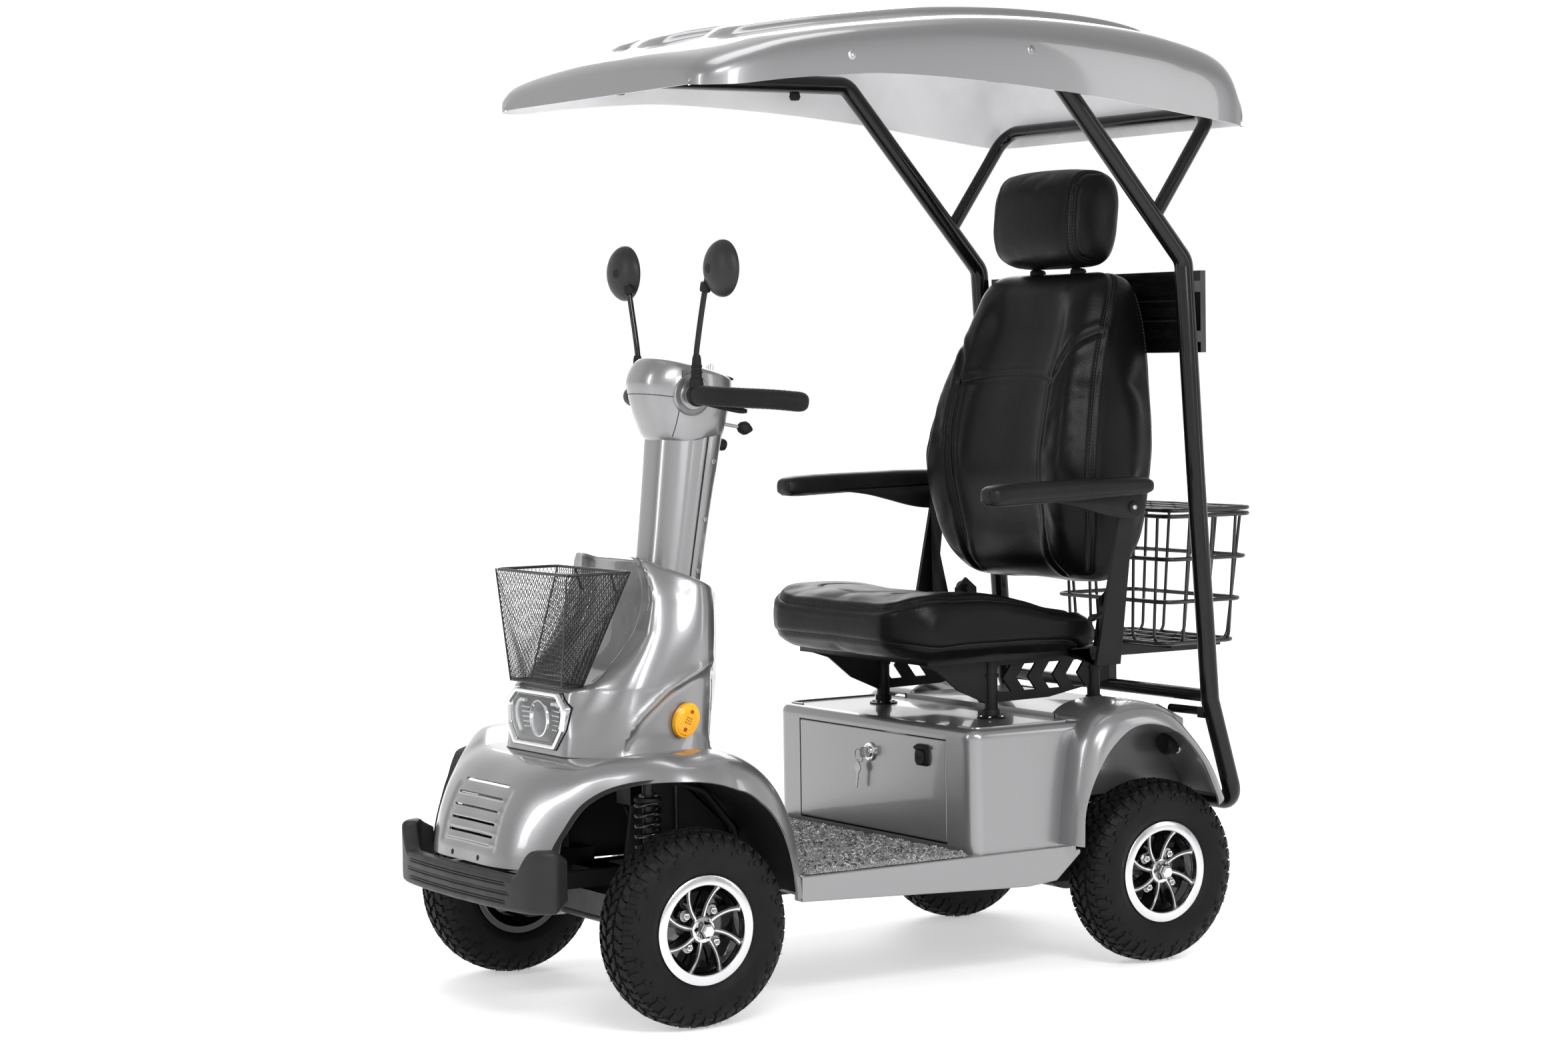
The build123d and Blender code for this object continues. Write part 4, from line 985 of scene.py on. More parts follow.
def cowl():
    c = np.array(COWL, float)
    zs = np.r_[np.linspace(420, 536, 26), np.linspace(539, 556, 12), np.linspace(562, 774, 48)]
    cols = []
    for k in range(1, 7):
        d = cr(c[:, [0, k]], 300)
        order = np.argsort(d[:, 0])
        cols.append(np.interp(zs, d[order, 0], d[order, k and 1]))
    rings = []
    for i, z in enumerate(zs):
        fx, rx, wf, wm, wr, back = (cols[k][i] for k in range(6))
        mx = fx - (fx - rx) * 0.42
        fc = float(np.interp(z, [420, 470, 510, 541, 560, 580, 610, 640, 690, 730, 774],
                             [604, 598, 588, 571, 556, 538, 508, 482, 462, 459, 466]))
        mx = fc - (fc - rx) * 0.42
        half = [(fx + 1, 0), (fx + 0.5, wf * 0.5), (fx - 1, wf - 18), (fc - 12, wf + 2), (mx + 44, wm - 9),
                (mx, wm), (rx + 30, wr + 1), (rx + 4, wr - 12), (rx - 14, wr - 34), (rx - 34, min(104, wr - 60)),
                (back + 32, 62), (back + 17, 34), (back + 12, 0)]
        half = cr(half, 76)
        ring = []
        for x, y in half:
            # bay in front, between the two cheeks
            if z > 549 and x > 400:
                inb = float(smoothstep(wf - 4, wf - 30, y)) * float(smoothstep(549, 575, z))
                x = x - 26 * inb * float(smoothstep(400, 450, x))
            # scooped field round the side marker, under a curved ridge
            if y > 120 and x < 560:
                line = float(np.interp(x, [300, 358, 400, 445, 492, 520, 538, 550], [584, 577, 562, 541, 504, 474, 441, 400]))
                y = y - 7.0 * float(smoothstep(-3, 15, line - z)) * (1 - 0.85 * float(smoothstep(470, 432, z)))
                y = y + 2.2 * math.exp(-((line + 3 - z) / 7.0) ** 2)
                y = y + 3.0 * float(smoothstep(452, 424, z))
            top = 653 + (x - 200) * (120 / 274) - 1
            soft = 7.0
            zz = z
            if z > top - soft:
                zz = top - soft + soft * math.tanh((z - top + soft) / soft) * 1.0
                over = z - (top - soft)
                # the edge rounds over into the deck
                k = 1 - 0.02 * min(over, 60) / 60
                y, x = y * k, x
            ring.append((x, y, zz))
        full = ring + [(x, -y, z_) for x, y, z_ in reversed(ring[1:-1])]
        rings.append(full)
    ob = loft("cowl_shell", rings, "silver", "chassis", caps=True, replaces=["front_cowl"],
              slot="silver_body")
    # opening round the steering column
    v, f = lathe_data([(-80, 0.0), (-80, 72), (60, 72), (60, 0.0)], (333, 0, 700), (0, 0, 1), 48)
    cut = make("hole", v, f, "silver", None)
    fix_normals(cut)
    # seat of the headlight
    hl = [(-78, 50), (78, 50), (106, 26), (100, -14), (74, -48), (-74, -48), (-100, -14), (-106, 26)]
    n = len(hl)
    vv = [(583, y * 1.005, 491 + z * 1.01) for y, z in hl] + [(640, y * 1.005, 491 + z * 1.01) for y, z in hl]
    ff = [tuple(range(n)), tuple(range(2 * n - 1, n - 1, -1))]
    ff += [(i, (i + 1) % n, n + (i + 1) % n, n + i) for i in range(n)]
    cut2 = make("seat", vv, ff, "silver", None)
    fix_normals(cut2)
    boolean(ob, join([cut, cut2]))
    shade(ob, True, 42)
    # painted shade: a dark line under the cowl, round its foot
    base = [tuple(p) for p in rings[4]]
    ring = [(x * 1.0, y * 1.004, 433.0) for x, y, z in base]
    tubes("cowl_seam_shade", [ring], 1.6, "seam_shade", "chassis", sides=6, closed=True)


cowl()

# ============================================================ rear fenders
R_CROWN = [(-272, 232), (-284, 340), (-302, 420), (-340, 462), (-395, 476), (-458, 474), (-503, 456),
           (-549, 414), (-595, 356), (-624, 296)]
R_ARCH = [(-290, 232), (-296, 300), (-318, 362), (-350, 404), (-395, 434), (-440, 438), (-500, 418),
          (-548, 372), (-590, 292)]


def rear_fenders():
    prof = cr(R_CROWN, 90)
    tan = np.gradient(prof, axis=0)
    tan /= np.linalg.norm(tan, axis=1)[:, None]
    nrm = np.column_stack([tan[:, 1], -tan[:, 0]])
    if nrm[45, 1] < 0:
        nrm = -nrm
    edge = cr([(226, 0), (300, 0), (330, 1.5), (352, 7), (366, 17), (373, 30), (374, 46), (374, 58)], 34)
    for s, side in ((1, "left"), (-1, "right")):
        v = []
        for (x, z), (nx, nz) in zip(prof, nrm):
            for y, d in edge:
                v.append((x - nx * d, y * s, z - nz * d))
        f = grid_faces(len(prof), len(edge))
        arch = cr(R_ARCH, 90)

        def keep(p):
            a_ = abs(p[1]) - 300
            if a_ < -8:
                return -a_
            return max(inside_curve(arch, p[0], p[2], 100), -a_)

        v, f = clip(v, f, keep)
        v, f = clip(v, f, lambda p: max(-327.5 - p[0], abs(p[1]) - 313.5))
        ob = make("fender_rear_" + side, v, f, "silver", "chassis",
                  ["rear_fenders"] if s > 0 else [], slot="silver_body")
        top = max(ob.data.polygons, key=lambda p: p.center.z)
        if top.normal.z < 0:
            ob.data.flip_normals()
        solidify(ob, 4.0)
        bake(ob)
        shade(ob, True, 40)


rear_fenders()

# =========================================================== battery box
def box_front():
    # moulded front of the box: one sheet from the floor up the wall, round the edge and in over the top
    fx, by, top, r, e = -86.0, 314.0, 446.0, 28.0, 16.0
    plan = [(x, by, 0.0, 1.0) for x in np.linspace(-330, fx - r, 12)[:-1]]
    for a in np.linspace(0, 90, 13):
        c, q = math.cos(math.radians(90 - a)), math.sin(math.radians(90 - a))
        plan.append((fx - r + r * c, by - r + r * q, c, q))
    for y in (280, 262, 247, 240, 238, 236.5, 235.5, 234, 231, 226, 214, 190, 150, 100, 50, 0):
        plan.append((fx, y, 1.0, 0.0))
    plan += [(x, -y, nx, -ny) for x, y, nx, ny in reversed(plan[:-1])]
    cols = [(0.0, z) for z in (228, 231, 234, 237, 238.5, 239.5, 241, 246, 256, 280, 310, 340, 370, 395, 410, 417,
                               421, 423, 423.8, 424.4, 426, 430)]
    cols += [(e * (1 - math.cos(math.radians(a))), top - e + e * math.sin(math.radians(a))) for a in
             np.linspace(8, 90, 9)]
    v = []
    for x, y, nx, ny in plan:
        for inset, z in cols:
            v.append((x - nx * inset, y - ny * inset, z))
        for t in (0.12, 0.35, 0.65, 1.0):
            gx, gy = x - nx * e, y - ny * e
            tx = min(gx, fx - 150)
            v.append((gx + (tx - gx) * t, gy * (1 - t), top))
    nc = len(cols) + 4
    f = grid_faces(len(plan), nc)

    def keep(q):
        if q[0] < fx - 2 or q[2] > top - 14:
            return 1.0
        return max(abs(q[1]) - 236.0, 239.0 - q[2], q[2] - 424.0)
    v, f = clip(v, f, keep, 10)
    ob = make("seat_box_shell", v, f, "silver", "chassis", replaces=["battery_box"], slot="silver_body")
    bm = bmesh.new()
    bm.from_mesh(ob.data)
    bmesh.ops.remove_doubles(bm, verts=bm.verts, dist=0.00002)
    bm.to_mesh(ob.data)
    bm.free()
    up = max(ob.data.polygons, key=lambda q: q.center.z)
    if up.normal.z < 0:
        ob.data.flip_normals()
    solidify(ob, 4.0)
    bake(ob)
    shade(ob, True, 40)
    # tail section behind it
    src = nodes["battery_box"]
    tail = bpy.data.objects.new("seat_box_tail", src.data.copy())
    scene.collection.objects.link(tail)
    bm = bmesh.new()
    bm.from_mesh(tail.data)
    bmesh.ops.remove_doubles(bm, verts=bm.verts, dist=0.00002)
    bmesh.ops.bisect_plane(bm, geom=bm.verts[:] + bm.edges[:] + bm.faces[:], plane_co=W((-327.0, 0, 0)),
                           plane_no=(1, 0, 0), clear_outer=True)
    bmesh.ops.dissolve_limit(bm, angle_limit=math.radians(1.0), verts=bm.verts, edges=bm.edges)
    bm.to_mesh(tail.data)
    bm.free()
    tail.data.materials.clear()
    tail.data.materials.append(M["silver"])
    bevel(tail, 6.5, 4, 35)
    bake(tail)
    shade(tail, True, 35)
    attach(tail, "chassis")


box_front()
b = Batch()
# raised lip along the front top edge and pads on the deck
for s in (1, -1):
    b.tube(bend_path([(-104, 250 * s, 447), (-104, 298 * s, 447), (-140, 300 * s, 447), (-300, 300 * s, 447)], 22),
           2.2, 8, 0)
for x, y in ((-233, 171), (-233, -171), (-465, 171), (-465, -171)):
    z = 446 if x > -328 else 454
    b.lathe([(0, 0), (0, 26), (3, 26), (4, 24), (4, 0)], (x, y, z - 0.5), (0, 0, 1), 28, 1)
    for k in range(4):
        a = math.radians(45 + 90 * k)
        b.lathe(dome(3.6, 3.0, 4), (x + 19 * math.cos(a), y + 19 * math.sin(a), z + 3.2), (0, 0, 1), 6, 2)
b.make("box_details", ["silver", "frame", "steel"], "chassis", sharp=40)

# door: panel with rounded corners, a seam round it, lock and socket
door = refine("battery_door", 2.2, seg=3, angle=35, name="hatch_panel")
b = Batch()
b.lathe([(0, 0), (0, 17), (3.2, 17), (4.8, 15.4), (4.8, 12.5), (3.6, 12), (3.6, 10.5), (7.4, 10.2), (8, 9.4),
         (8, 0)], (-86, 0, 382), (1, 0, 0), 48, 0)
b.lathe([(7.9, 0), (7.9, 6.2), (8.6, 6.0), (8.6, 0)], (-86, 0, 382), (1, 0, 0), 32, 3)
# painted shade: a thin dark slab on the lock face stands for the keyhole
v = []
for dx in (0, 1.0):
    for y, z in ((-1.0, 378), (1.0, 378), (1.0, 386), (-1.0, 386)):
        v.append((-77.4 + dx, y, z))
b.add((v, [(0, 1, 2, 3), (7, 6, 5, 4), (0, 4, 5, 1), (1, 5, 6, 2), (2, 6, 7, 3), (3, 7, 4, 0)]), 1)
# socket with a flip cap: bevelled body, cap, hinge and ribs


def slab(x0, x1, y0, y1, z0, z1, r=2.5):
    # block with chamfered corners facing +x
    o = [(y0 + r, z0), (y1 - r, z0), (y1, z0 + r), (y1, z1 - r), (y1 - r, z1), (y0 + r, z1), (y0, z1 - r),
         (y0, z0 + r)]
    cy, cz = (y0 + y1) / 2, (z0 + z1) / 2
    k = 1 - 1.6 / max(y1 - y0, 1) * 2
    rings = [[(x0, y, z) for y, z in o], [(x1 - 1.6, y, z) for y, z in o],
             [(x1, cy + (y - cy) * k, cz + (z - cz) * k) for y, z in o]]
    v = [p for q in rings for p in q]
    f = grid_faces(3, 8, close_c=True)
    f.append(tuple(range(8))[::-1])
    f.append(tuple(range(16, 24)))
    return v, f


b.add(slab(-86, -80, 148, 184, 372, 410, 4), 2)
b.add(slab(-80.5, -75.5, 153, 179, 374, 400, 5), 2)
b.tube([(-79, 150, 404), (-79, 182, 404)], 3.2, 12, 2)
for k in range(3):
    b.add(slab(-76, -74.2, 158 + 6 * k, 161 + 6 * k, 377, 397, 0.8), 2)
b.make("hatch_fittings", ["chrome", "seam_shade", "plastic_dark", "steel"], "battery_hatch",
       replaces=["door_fittings"], sharp=35, slot="chrome")

# keys that hang from the lock
b = Batch()


def key(cx, cy, cz, ang, mat):
    # flat key: round bow, blade with cuts
    v, f = [], []
    ca, sa = math.cos(ang), math.sin(ang)
    pts = [(9 * math.cos(t), 8 + 9 * math.sin(t)) for t in np.linspace(-0.3 * math.pi, 1.3 * math.pi, 18)]
    pts += [(-3, -2), (-3, -26), (0, -30), (3, -26), (2, -22), (3.4, -19), (2, -15), (3.4, -12), (3, -8), (3, -2)]
    n = len(pts)
    for dx in (0, 1.8):
        for y, z in pts:
            v.append((cx + dx, cy + y * ca - z * sa, cz + y * sa + z * ca))
    f = [tuple(range(n)), tuple(range(2 * n - 1, n - 1, -1))]
    f += [(i, (i + 1) % n, n + (i + 1) % n, n + i) for i in range(n)]
    return v, f


ring = [(-72 + 2 * math.sin(t), -17 + 12 * math.cos(t), 374 + 12 * math.sin(t)) for t in
        np.linspace(0, 2 * math.pi, 36)[:-1]]
b.tube(ring, 0.8, 8, 0, closed=True)
b.add(key(-74, -24, 344, -0.12, 0), 0)
b.add(slab(-77.5, -62, -1.2, 1.2, 373, 391, 0.8), 0)
b.make("lock_keys", ["steel"], "battery_hatch", sharp=35, slot="chrome")


# ================================================================ bumper
def bumper():
    path = cr([(682, 246), (712, 250), (735, 234), (748, 196), (756, 120), (760, 0)], 60)
    path = [(float(x), float(y)) for x, y in path]
    full = path + [(x, -y) for x, y in reversed(path[:-1])]
    rings = []
    for i, (x, y) in enumerate(full):
        a = np.array(full[max(0, i - 1)])
        c = np.array(full[min(len(full) - 1, i + 1)])
        t = (c - a) / np.linalg.norm(c - a)
        nx, ny = -t[1], t[0]
        if nx * (x - 500) + ny * y < 0:
            nx, ny = -nx, -ny
        w = 15.0
        up = 46 * float(smoothstep(186, 232, abs(y))) if x > 690 else 46.0
        end = min(i, len(full) - 1 - i)
        tip = 1.0 if end > 5 else 0.55 + 0.09 * end
        z0, z1 = 199.0, 257.5 + up
        sec = []
        r = 9.0
        zs = np.r_[np.linspace(z0 + r, 209, 3), np.arange(210.2, 248.6, 0.95), np.linspace(249.5, z1 - r, 5)]
        front = [(w * tip - r + r * math.sin(t), z0 + r - r * math.cos(t)) for t in np.linspace(0, math.pi / 2, 6)[:-1]]
        for zz in zs:
            o = w * tip
            for gz, ye in ((214.5, 176), (229.5, 186), (244.5, 176)):
                fade = float(smoothstep(ye, ye - 8, abs(y)))
                for off in (-2.1, 2.1):
                    o -= 2.6 * fade * math.exp(-((zz - gz - off) / 0.85) ** 2)
            front.append((o, zz))
        front += [(w * tip - r + r * math.cos(t), z1 - r + r * math.sin(t)) for t in np.linspace(0, math.pi / 2, 6)[1:]]
        back_ = [(-w * 0.8 + 5 - 5 * math.sin(t), z1 - 5 + 5 * math.cos(t)) for t in np.linspace(0, math.pi / 2, 4)]
        back_ += [(-w * 0.8, z0 + (z1 - z0) * q) for q in (0.7, 0.5, 0.3)]
        back_ += [(-w * 0.8 + 5 - 5 * math.cos(t), z0 + 5 - 5 * math.sin(t)) for t in np.linspace(0, math.pi / 2, 4)]
        mid = (z0 + z1) / 2
        for o, zz in front + back_:
            k2 = 1.0 if end > 5 else 0.72 + 0.056 * end
            sec.append((x + nx * (o - 8), y + ny * (o - 8), mid + (zz - mid) * k2))
        rings.append(sec)
    ob = loft("bumper_moulding", rings, "plastic", "chassis", replaces=["front_bumper"], sharp=None,
              slot="black_plastic")
    shade(ob, True, 60)
    b = Batch()
    for s in (1, -1):
        y0, y1 = sorted((106 * s, 134 * s))
        b.add(slab(722, 738, y0, y1, 212, 246, 2), 1)
    b.make("bumper_details", ["plastic", "plastic_dark"], "chassis", sharp=40)


bumper()


# ================================================================= wheels
def tyre_mesh(tag, wx, wy, out):
    b = Batch()
    prof = [(-27, 85), (-33, 86), (-41, 92), (-46, 100), (-49.3, 112), (-50, 124), (-48.6, 134), (-45, 143),
            (-38, 151), (-28, 156), (-14, 159), (0, 159.6), (14, 159), (28, 156), (38, 151), (45, 143),
            (48.6, 134), (50, 124), (49.3, 112), (46, 100), (41, 92), (33, 86), (27, 85)]
    fine = cr(prof, 60)
    rows = [(float(o), float(r)) for o, r in fine]
    # moulded rings on the side wall
    rows = [(o + math.copysign(0.9, o) * math.exp(-((r - 106) / 1.4) ** 2)
             + math.copysign(0.7, o) * math.exp(-((r - 128) / 1.2) ** 2), r) for o, r in rows]
    b.lathe(rows, (wx, wy, AXLE), (0, 1, 0), 96, 0)

    def block(a, o0, o1, r0, r1, da, lift, skew=0.0, slant=0.0):
        # tread block, from the carcass out, between two offsets
        base, top = [], []
        for (o, dd, rr) in ((o0, -1, r0), (o1, -1, r1), (o1, 1, r1), (o0, 1, r0)):
            for lst, kk, rad in ((base, 1.0, rr - 2.0), (top, 0.86, rr + lift)):
                oc = (o0 + o1) / 2
                ang = a + dd * da * kk + skew * (o - oc) / 10
                oo = oc + (o - oc) * kk
                lst.append((wx + rad * math.cos(ang), wy + oo, AXLE + rad * math.sin(ang)))
        v = base + top
        return v, [(0, 3, 2, 1), (4, 5, 6, 7), (0, 1, 5, 4), (1, 2, 6, 5), (2, 3, 7, 6), (3, 0, 4, 7)]

    n = 44
    for k in range(n):
        a = 2 * math.pi * k / n
        st = 2 * math.pi / n
        for s in (1, -1):
            h = a + (0.5 * st if s < 0 else 0)
            b.add(block(h, 2.0 * s, 15.5 * s, 159.6, 158.9, 0.050, 5.2, 0.035 * s), 0)
            b.add(block(h + 0.5 * st, 12.5 * s, 19.0 * s, 159.0, 158.2, 0.026, 5.6), 0)
            b.add(block(h + 0.5 * st, 21 * s, 34.5 * s, 157.8, 153.4, 0.048, 5.0, -0.03 * s), 0)
            b.add(block(h, 30 * s, 38 * s, 155.4, 151.2, 0.030, 4.4), 0)
            b.add(block(h + 0.05 * st, 37.5 * s, 46.5 * s, 151.4, 141.6, 0.042, 4.2), 0)
            # small squares on the shoulder
            if k % 2 == 0:
                for j, (oo, rr) in enumerate(((47.8, 139), (49.2, 131.5))):
                    c = h + 0.25 * st * (1 - 2 * j)
                    v = []
                    for lift in (-0.6, 1.5):
                        for da_, dr in ((-0.026, -3), (0.026, -3), (0.026, 3), (-0.026, 3)):
                            v.append((wx + (rr + dr) * math.cos(c + da_), wy + (oo + lift) * s,
                                      AXLE + (rr + dr) * math.sin(c + da_)))
                    b.add((v, [(0, 3, 2, 1), (4, 5, 6, 7), (0, 1, 5, 4), (1, 2, 6, 5), (2, 3, 7, 6), (3, 0, 4, 7)]), 0)
    # moulding hairs
    r2 = np.random.default_rng(len(tag) * 7 + int(wy) % 5)
    for k in range(190):
        a = float(r2.uniform(0, 2 * math.pi))
        o = float(r2.choice([-44, -36, -24, 24, 36, 44])) + float(r2.uniform(-3, 3))
        rr = float(np.interp(abs(o), [0, 20, 35, 42, 48], [164, 163, 158, 152, 141]))
        ln = float(r2.uniform(2.5, 5.0))
        tilt = float(r2.uniform(-0.02, 0.02))
        p = np.array([wx + rr * math.cos(a), wy + o, AXLE + rr * math.sin(a)])
        q = np.array([wx + (rr + ln) * math.cos(a + tilt), wy + o * 1.02 + float(r2.uniform(-1, 1)),
                      AXLE + (rr + ln) * math.sin(a + tilt)])
        b.tube([p, q], 0.4, 3, 0, radii=[0.45, 0.2])
    ob = b.make("tyre_skin_" + tag, ["tyre"], "wheel_" + tag, replaces=["tyre_" + tag], sharp=32, slot="tyre")
    return ob


def rim_mesh(tag, wx, wy, out):
    b = Batch()
    c = (wx, wy, AXLE)
    ax = (0, out, 0)
    # barrel and inner lip
    b.lathe([(36, 79.5), (30, 73), (22, 68), (-22, 67), (-30, 74), (-38, 80), (-40, 84), (-40, 90), (-43, 91),
             (-44, 88), (-44, 80), (-38, 76), (-26, 63), (22, 63), (32, 70)], c, ax, 72, 0)
    # machined lip
    b.lathe([(33, 72.5), (38, 73.6), (42.4, 74.2), (43.8, 75.6), (44.3, 88.2), (43, 90.6), (39, 91.4), (36, 90)],
            c, ax, 96, 1)
    # disc behind the spokes
    b.lathe([(4, 10), (4, 66), (1, 66), (1, 10)], c, ax, 48, 0)
    # spokes: black body with a machined edge
    for k in range(8):
        a0 = math.radians(45 * k + 8)
        sp = []
        for t in np.linspace(0, 1, 12):
            r = 20 + 58 * t
            ang = a0 + math.radians(16) * t ** 1.4 * out
            w = 4.6 - 1.0 * math.sin(math.pi * t) + 4.5 * max(0, (t - 0.78) / 0.22) ** 2
            top = 30 + 7.5 * t ** 1.3
            sp.append((r, ang, w, top))
        v, v2 = [], []
        for r, ang, w, top in sp:
            for (dw, o) in ((-w * 1.35, 8), (-w, top - 1.2), (w, top - 1.2), (w * 1.35, 8)):
                x = r * math.cos(ang) - dw * math.sin(ang)
                z = r * math.sin(ang) + dw * math.cos(ang)
                v.append((wx + x, wy + o * out, AXLE + z))
            for (dw, o) in ((-w * 0.30, top - 1.4), (-w * 0.30 + 0.3, top + 0.2), (w * 0.42, top + 0.2),
                            (w * 0.42, top - 1.4)):
                x = r * math.cos(ang) - dw * math.sin(ang)
                z = r * math.sin(ang) + dw * math.cos(ang)
                v2.append((wx + x, wy + o * out, AXLE + z))
        b.add((v, grid_faces(12, 4, close_c=True)), 0)
        b.add((v2, grid_faces(12, 4, close_c=True)), 1)
    # hub, cap and nuts
    b.lathe([(4, 0), (4, 26), (26, 25), (30, 23), (30, 0)], c, ax, 40, 0)
    b.lathe([(28, 0), (28, 19.5), (31, 20), (34, 19), (44, 15), (50, 12.5), (53.5, 9), (54, 0)], c, ax, 6, 2,)
    b.lathe([(29.5, 22), (33, 21), (33.5, 19), (33.5, 0)], c, ax, 36, 2)
    for k in range(4):
        a = math.radians(90 * k + 40)
        p = (wx + 37 * math.cos(a), wy + 20 * out, AXLE + 37 * math.sin(a))
        b.lathe([(-8, 0), (-8, 8.5), (1, 8.5), (1, 7.2), (8, 7.0), (9.5, 5.5), (9.5, 0)], p, ax, 6, 2)
        b.lathe([(0, 9.5), (1.5, 9.5), (1.5, 6)], p, ax, 20, 3)
        b.lathe([(8, 0), (8, 3.6), (13, 3.2), (13.5, 0)], p, ax, 14, 3)
    # valve
    p0 = np.array([wx + 60 * math.cos(0.9), wy + 30 * out, AXLE + 60 * math.sin(0.9)])
    b.tube([p0, p0 + np.array([-6 * math.cos(0.9), 9 * out, -6 * math.sin(0.9)])], 3.0, 10, 0)
    ob = b.make("rim_skin_" + tag, ["rim_black", "rim_cut", "chrome", "steel"], "wheel_" + tag,
                replaces=["rim_" + tag], sharp=32, slot="rim_alloy")
    bm_ = bmesh.new()
    bm_.from_mesh(ob.data)
    bmesh.ops.recalc_face_normals(bm_, faces=bm_.faces)
    bm_.to_mesh(ob.data)
    bm_.free()
    shade(ob, True, 32)


for tag, wx, wy, out in (("front_left", HB, 320, 1), ("front_right", HB, -320, -1), ("rear_left", -HB, 300, 1),
                         ("rear_right", -HB, -300, -1)):
    tyre_mesh(tag, wx, wy, out)
    rim_mesh(tag, wx, wy, out)


# ============================================================ soft pieces
def inflate(ob, voxel, cap, frames=18, pressure=4.0, smooth=1):
    # even mesh, then swelled by air pressure, each point moving no further than cap (mm)
    m = ob.modifiers.new("remesh", "REMESH")
    m.mode = "VOXEL"
    m.voxel_size = voxel / 1000
    m.use_smooth_shade = True
    bake(ob)
    me = ob.data
    rest = np.empty(len(me.vertices) * 3)
    me.vertices.foreach_get("co", rest)
    body = ob.copy()
    body.data = me.copy()
    scene.collection.objects.link(body)
    c = body.modifiers.new("cloth", "CLOTH")
    s = c.settings
    s.quality = 4
    s.mass = 0.3
    s.tension_stiffness = s.compression_stiffness = 18
    s.shear_stiffness = 12
    s.bending_stiffness = 4
    s.use_pressure = True
    s.uniform_pressure_force = pressure
    s.effector_weights.gravity = 0
    c.point_cache.frame_start, c.point_cache.frame_end = 1, frames
    for k in range(1, frames + 1):
        scene.frame_set(k)
        bpy.context.view_layer.update()
    dg = bpy.context.evaluated_depsgraph_get()
    ev = body.evaluated_get(dg).to_mesh()
    now = np.empty(len(ev.vertices) * 3)
    ev.vertices.foreach_get("co", now)
    body.evaluated_get(dg).to_mesh_clear()
    d = (now - rest).reshape(-1, 3)
    ln = np.linalg.norm(d, axis=1)
    lim = cap / 1000
    k = np.where(ln > 1e-9, lim * np.tanh(ln / lim) / np.maximum(ln, 1e-9), 0)
    me.vertices.foreach_set("co", rest + (d * k[:, None]).ravel())
    me.update()
    old = body.data
    bpy.data.objects.remove(body)
    bpy.data.meshes.remove(old)
    scene.frame_set(1)
    m = ob.modifiers.new("relax", "SMOOTH")
    m.factor = 0.5
    m.iterations = smooth
    subdiv(ob, 1)
    bake(ob)
    shade(ob, True)
    return ob


def co_mm(me):
    a = np.empty(len(me.vertices) * 3)
    me.vertices.foreach_get("co", a)
    a = a.reshape(-1, 3) * 1000
    a[:, 0] -= SHIFT
    return a


def put_mm(me, a):
    a = a.copy()
    a[:, 0] += SHIFT
    me.vertices.foreach_set("co", (a / 1000).ravel())
    me.update()


def bvh_of(ob):
    bm = bmesh.new()
    bm.from_mesh(ob.data)
    t = BVHTree.FromBMesh(bm)
    bm.free()
    return t


def snap(tree, pts, lift=0.0, ray=None):
    # nearest surface points (mm) with their normals
    out, nrm = [], []
    for p in pts:
        q = W(p)
        if ray is not None:
            hit, n, _, _ = tree.ray_cast(q, Vector(ray))
            if hit is None:
                hit, n, _, _ = tree.find_nearest(q)
        else:
            hit, n, _, _ = tree.find_nearest(q)
        h = np.array(hit) * 1000
        h[0] -= SHIFT
        n = np.array(n)
        out.append(h + n * lift)
        nrm.append(n)
    return np.array(out), np.array(nrm)




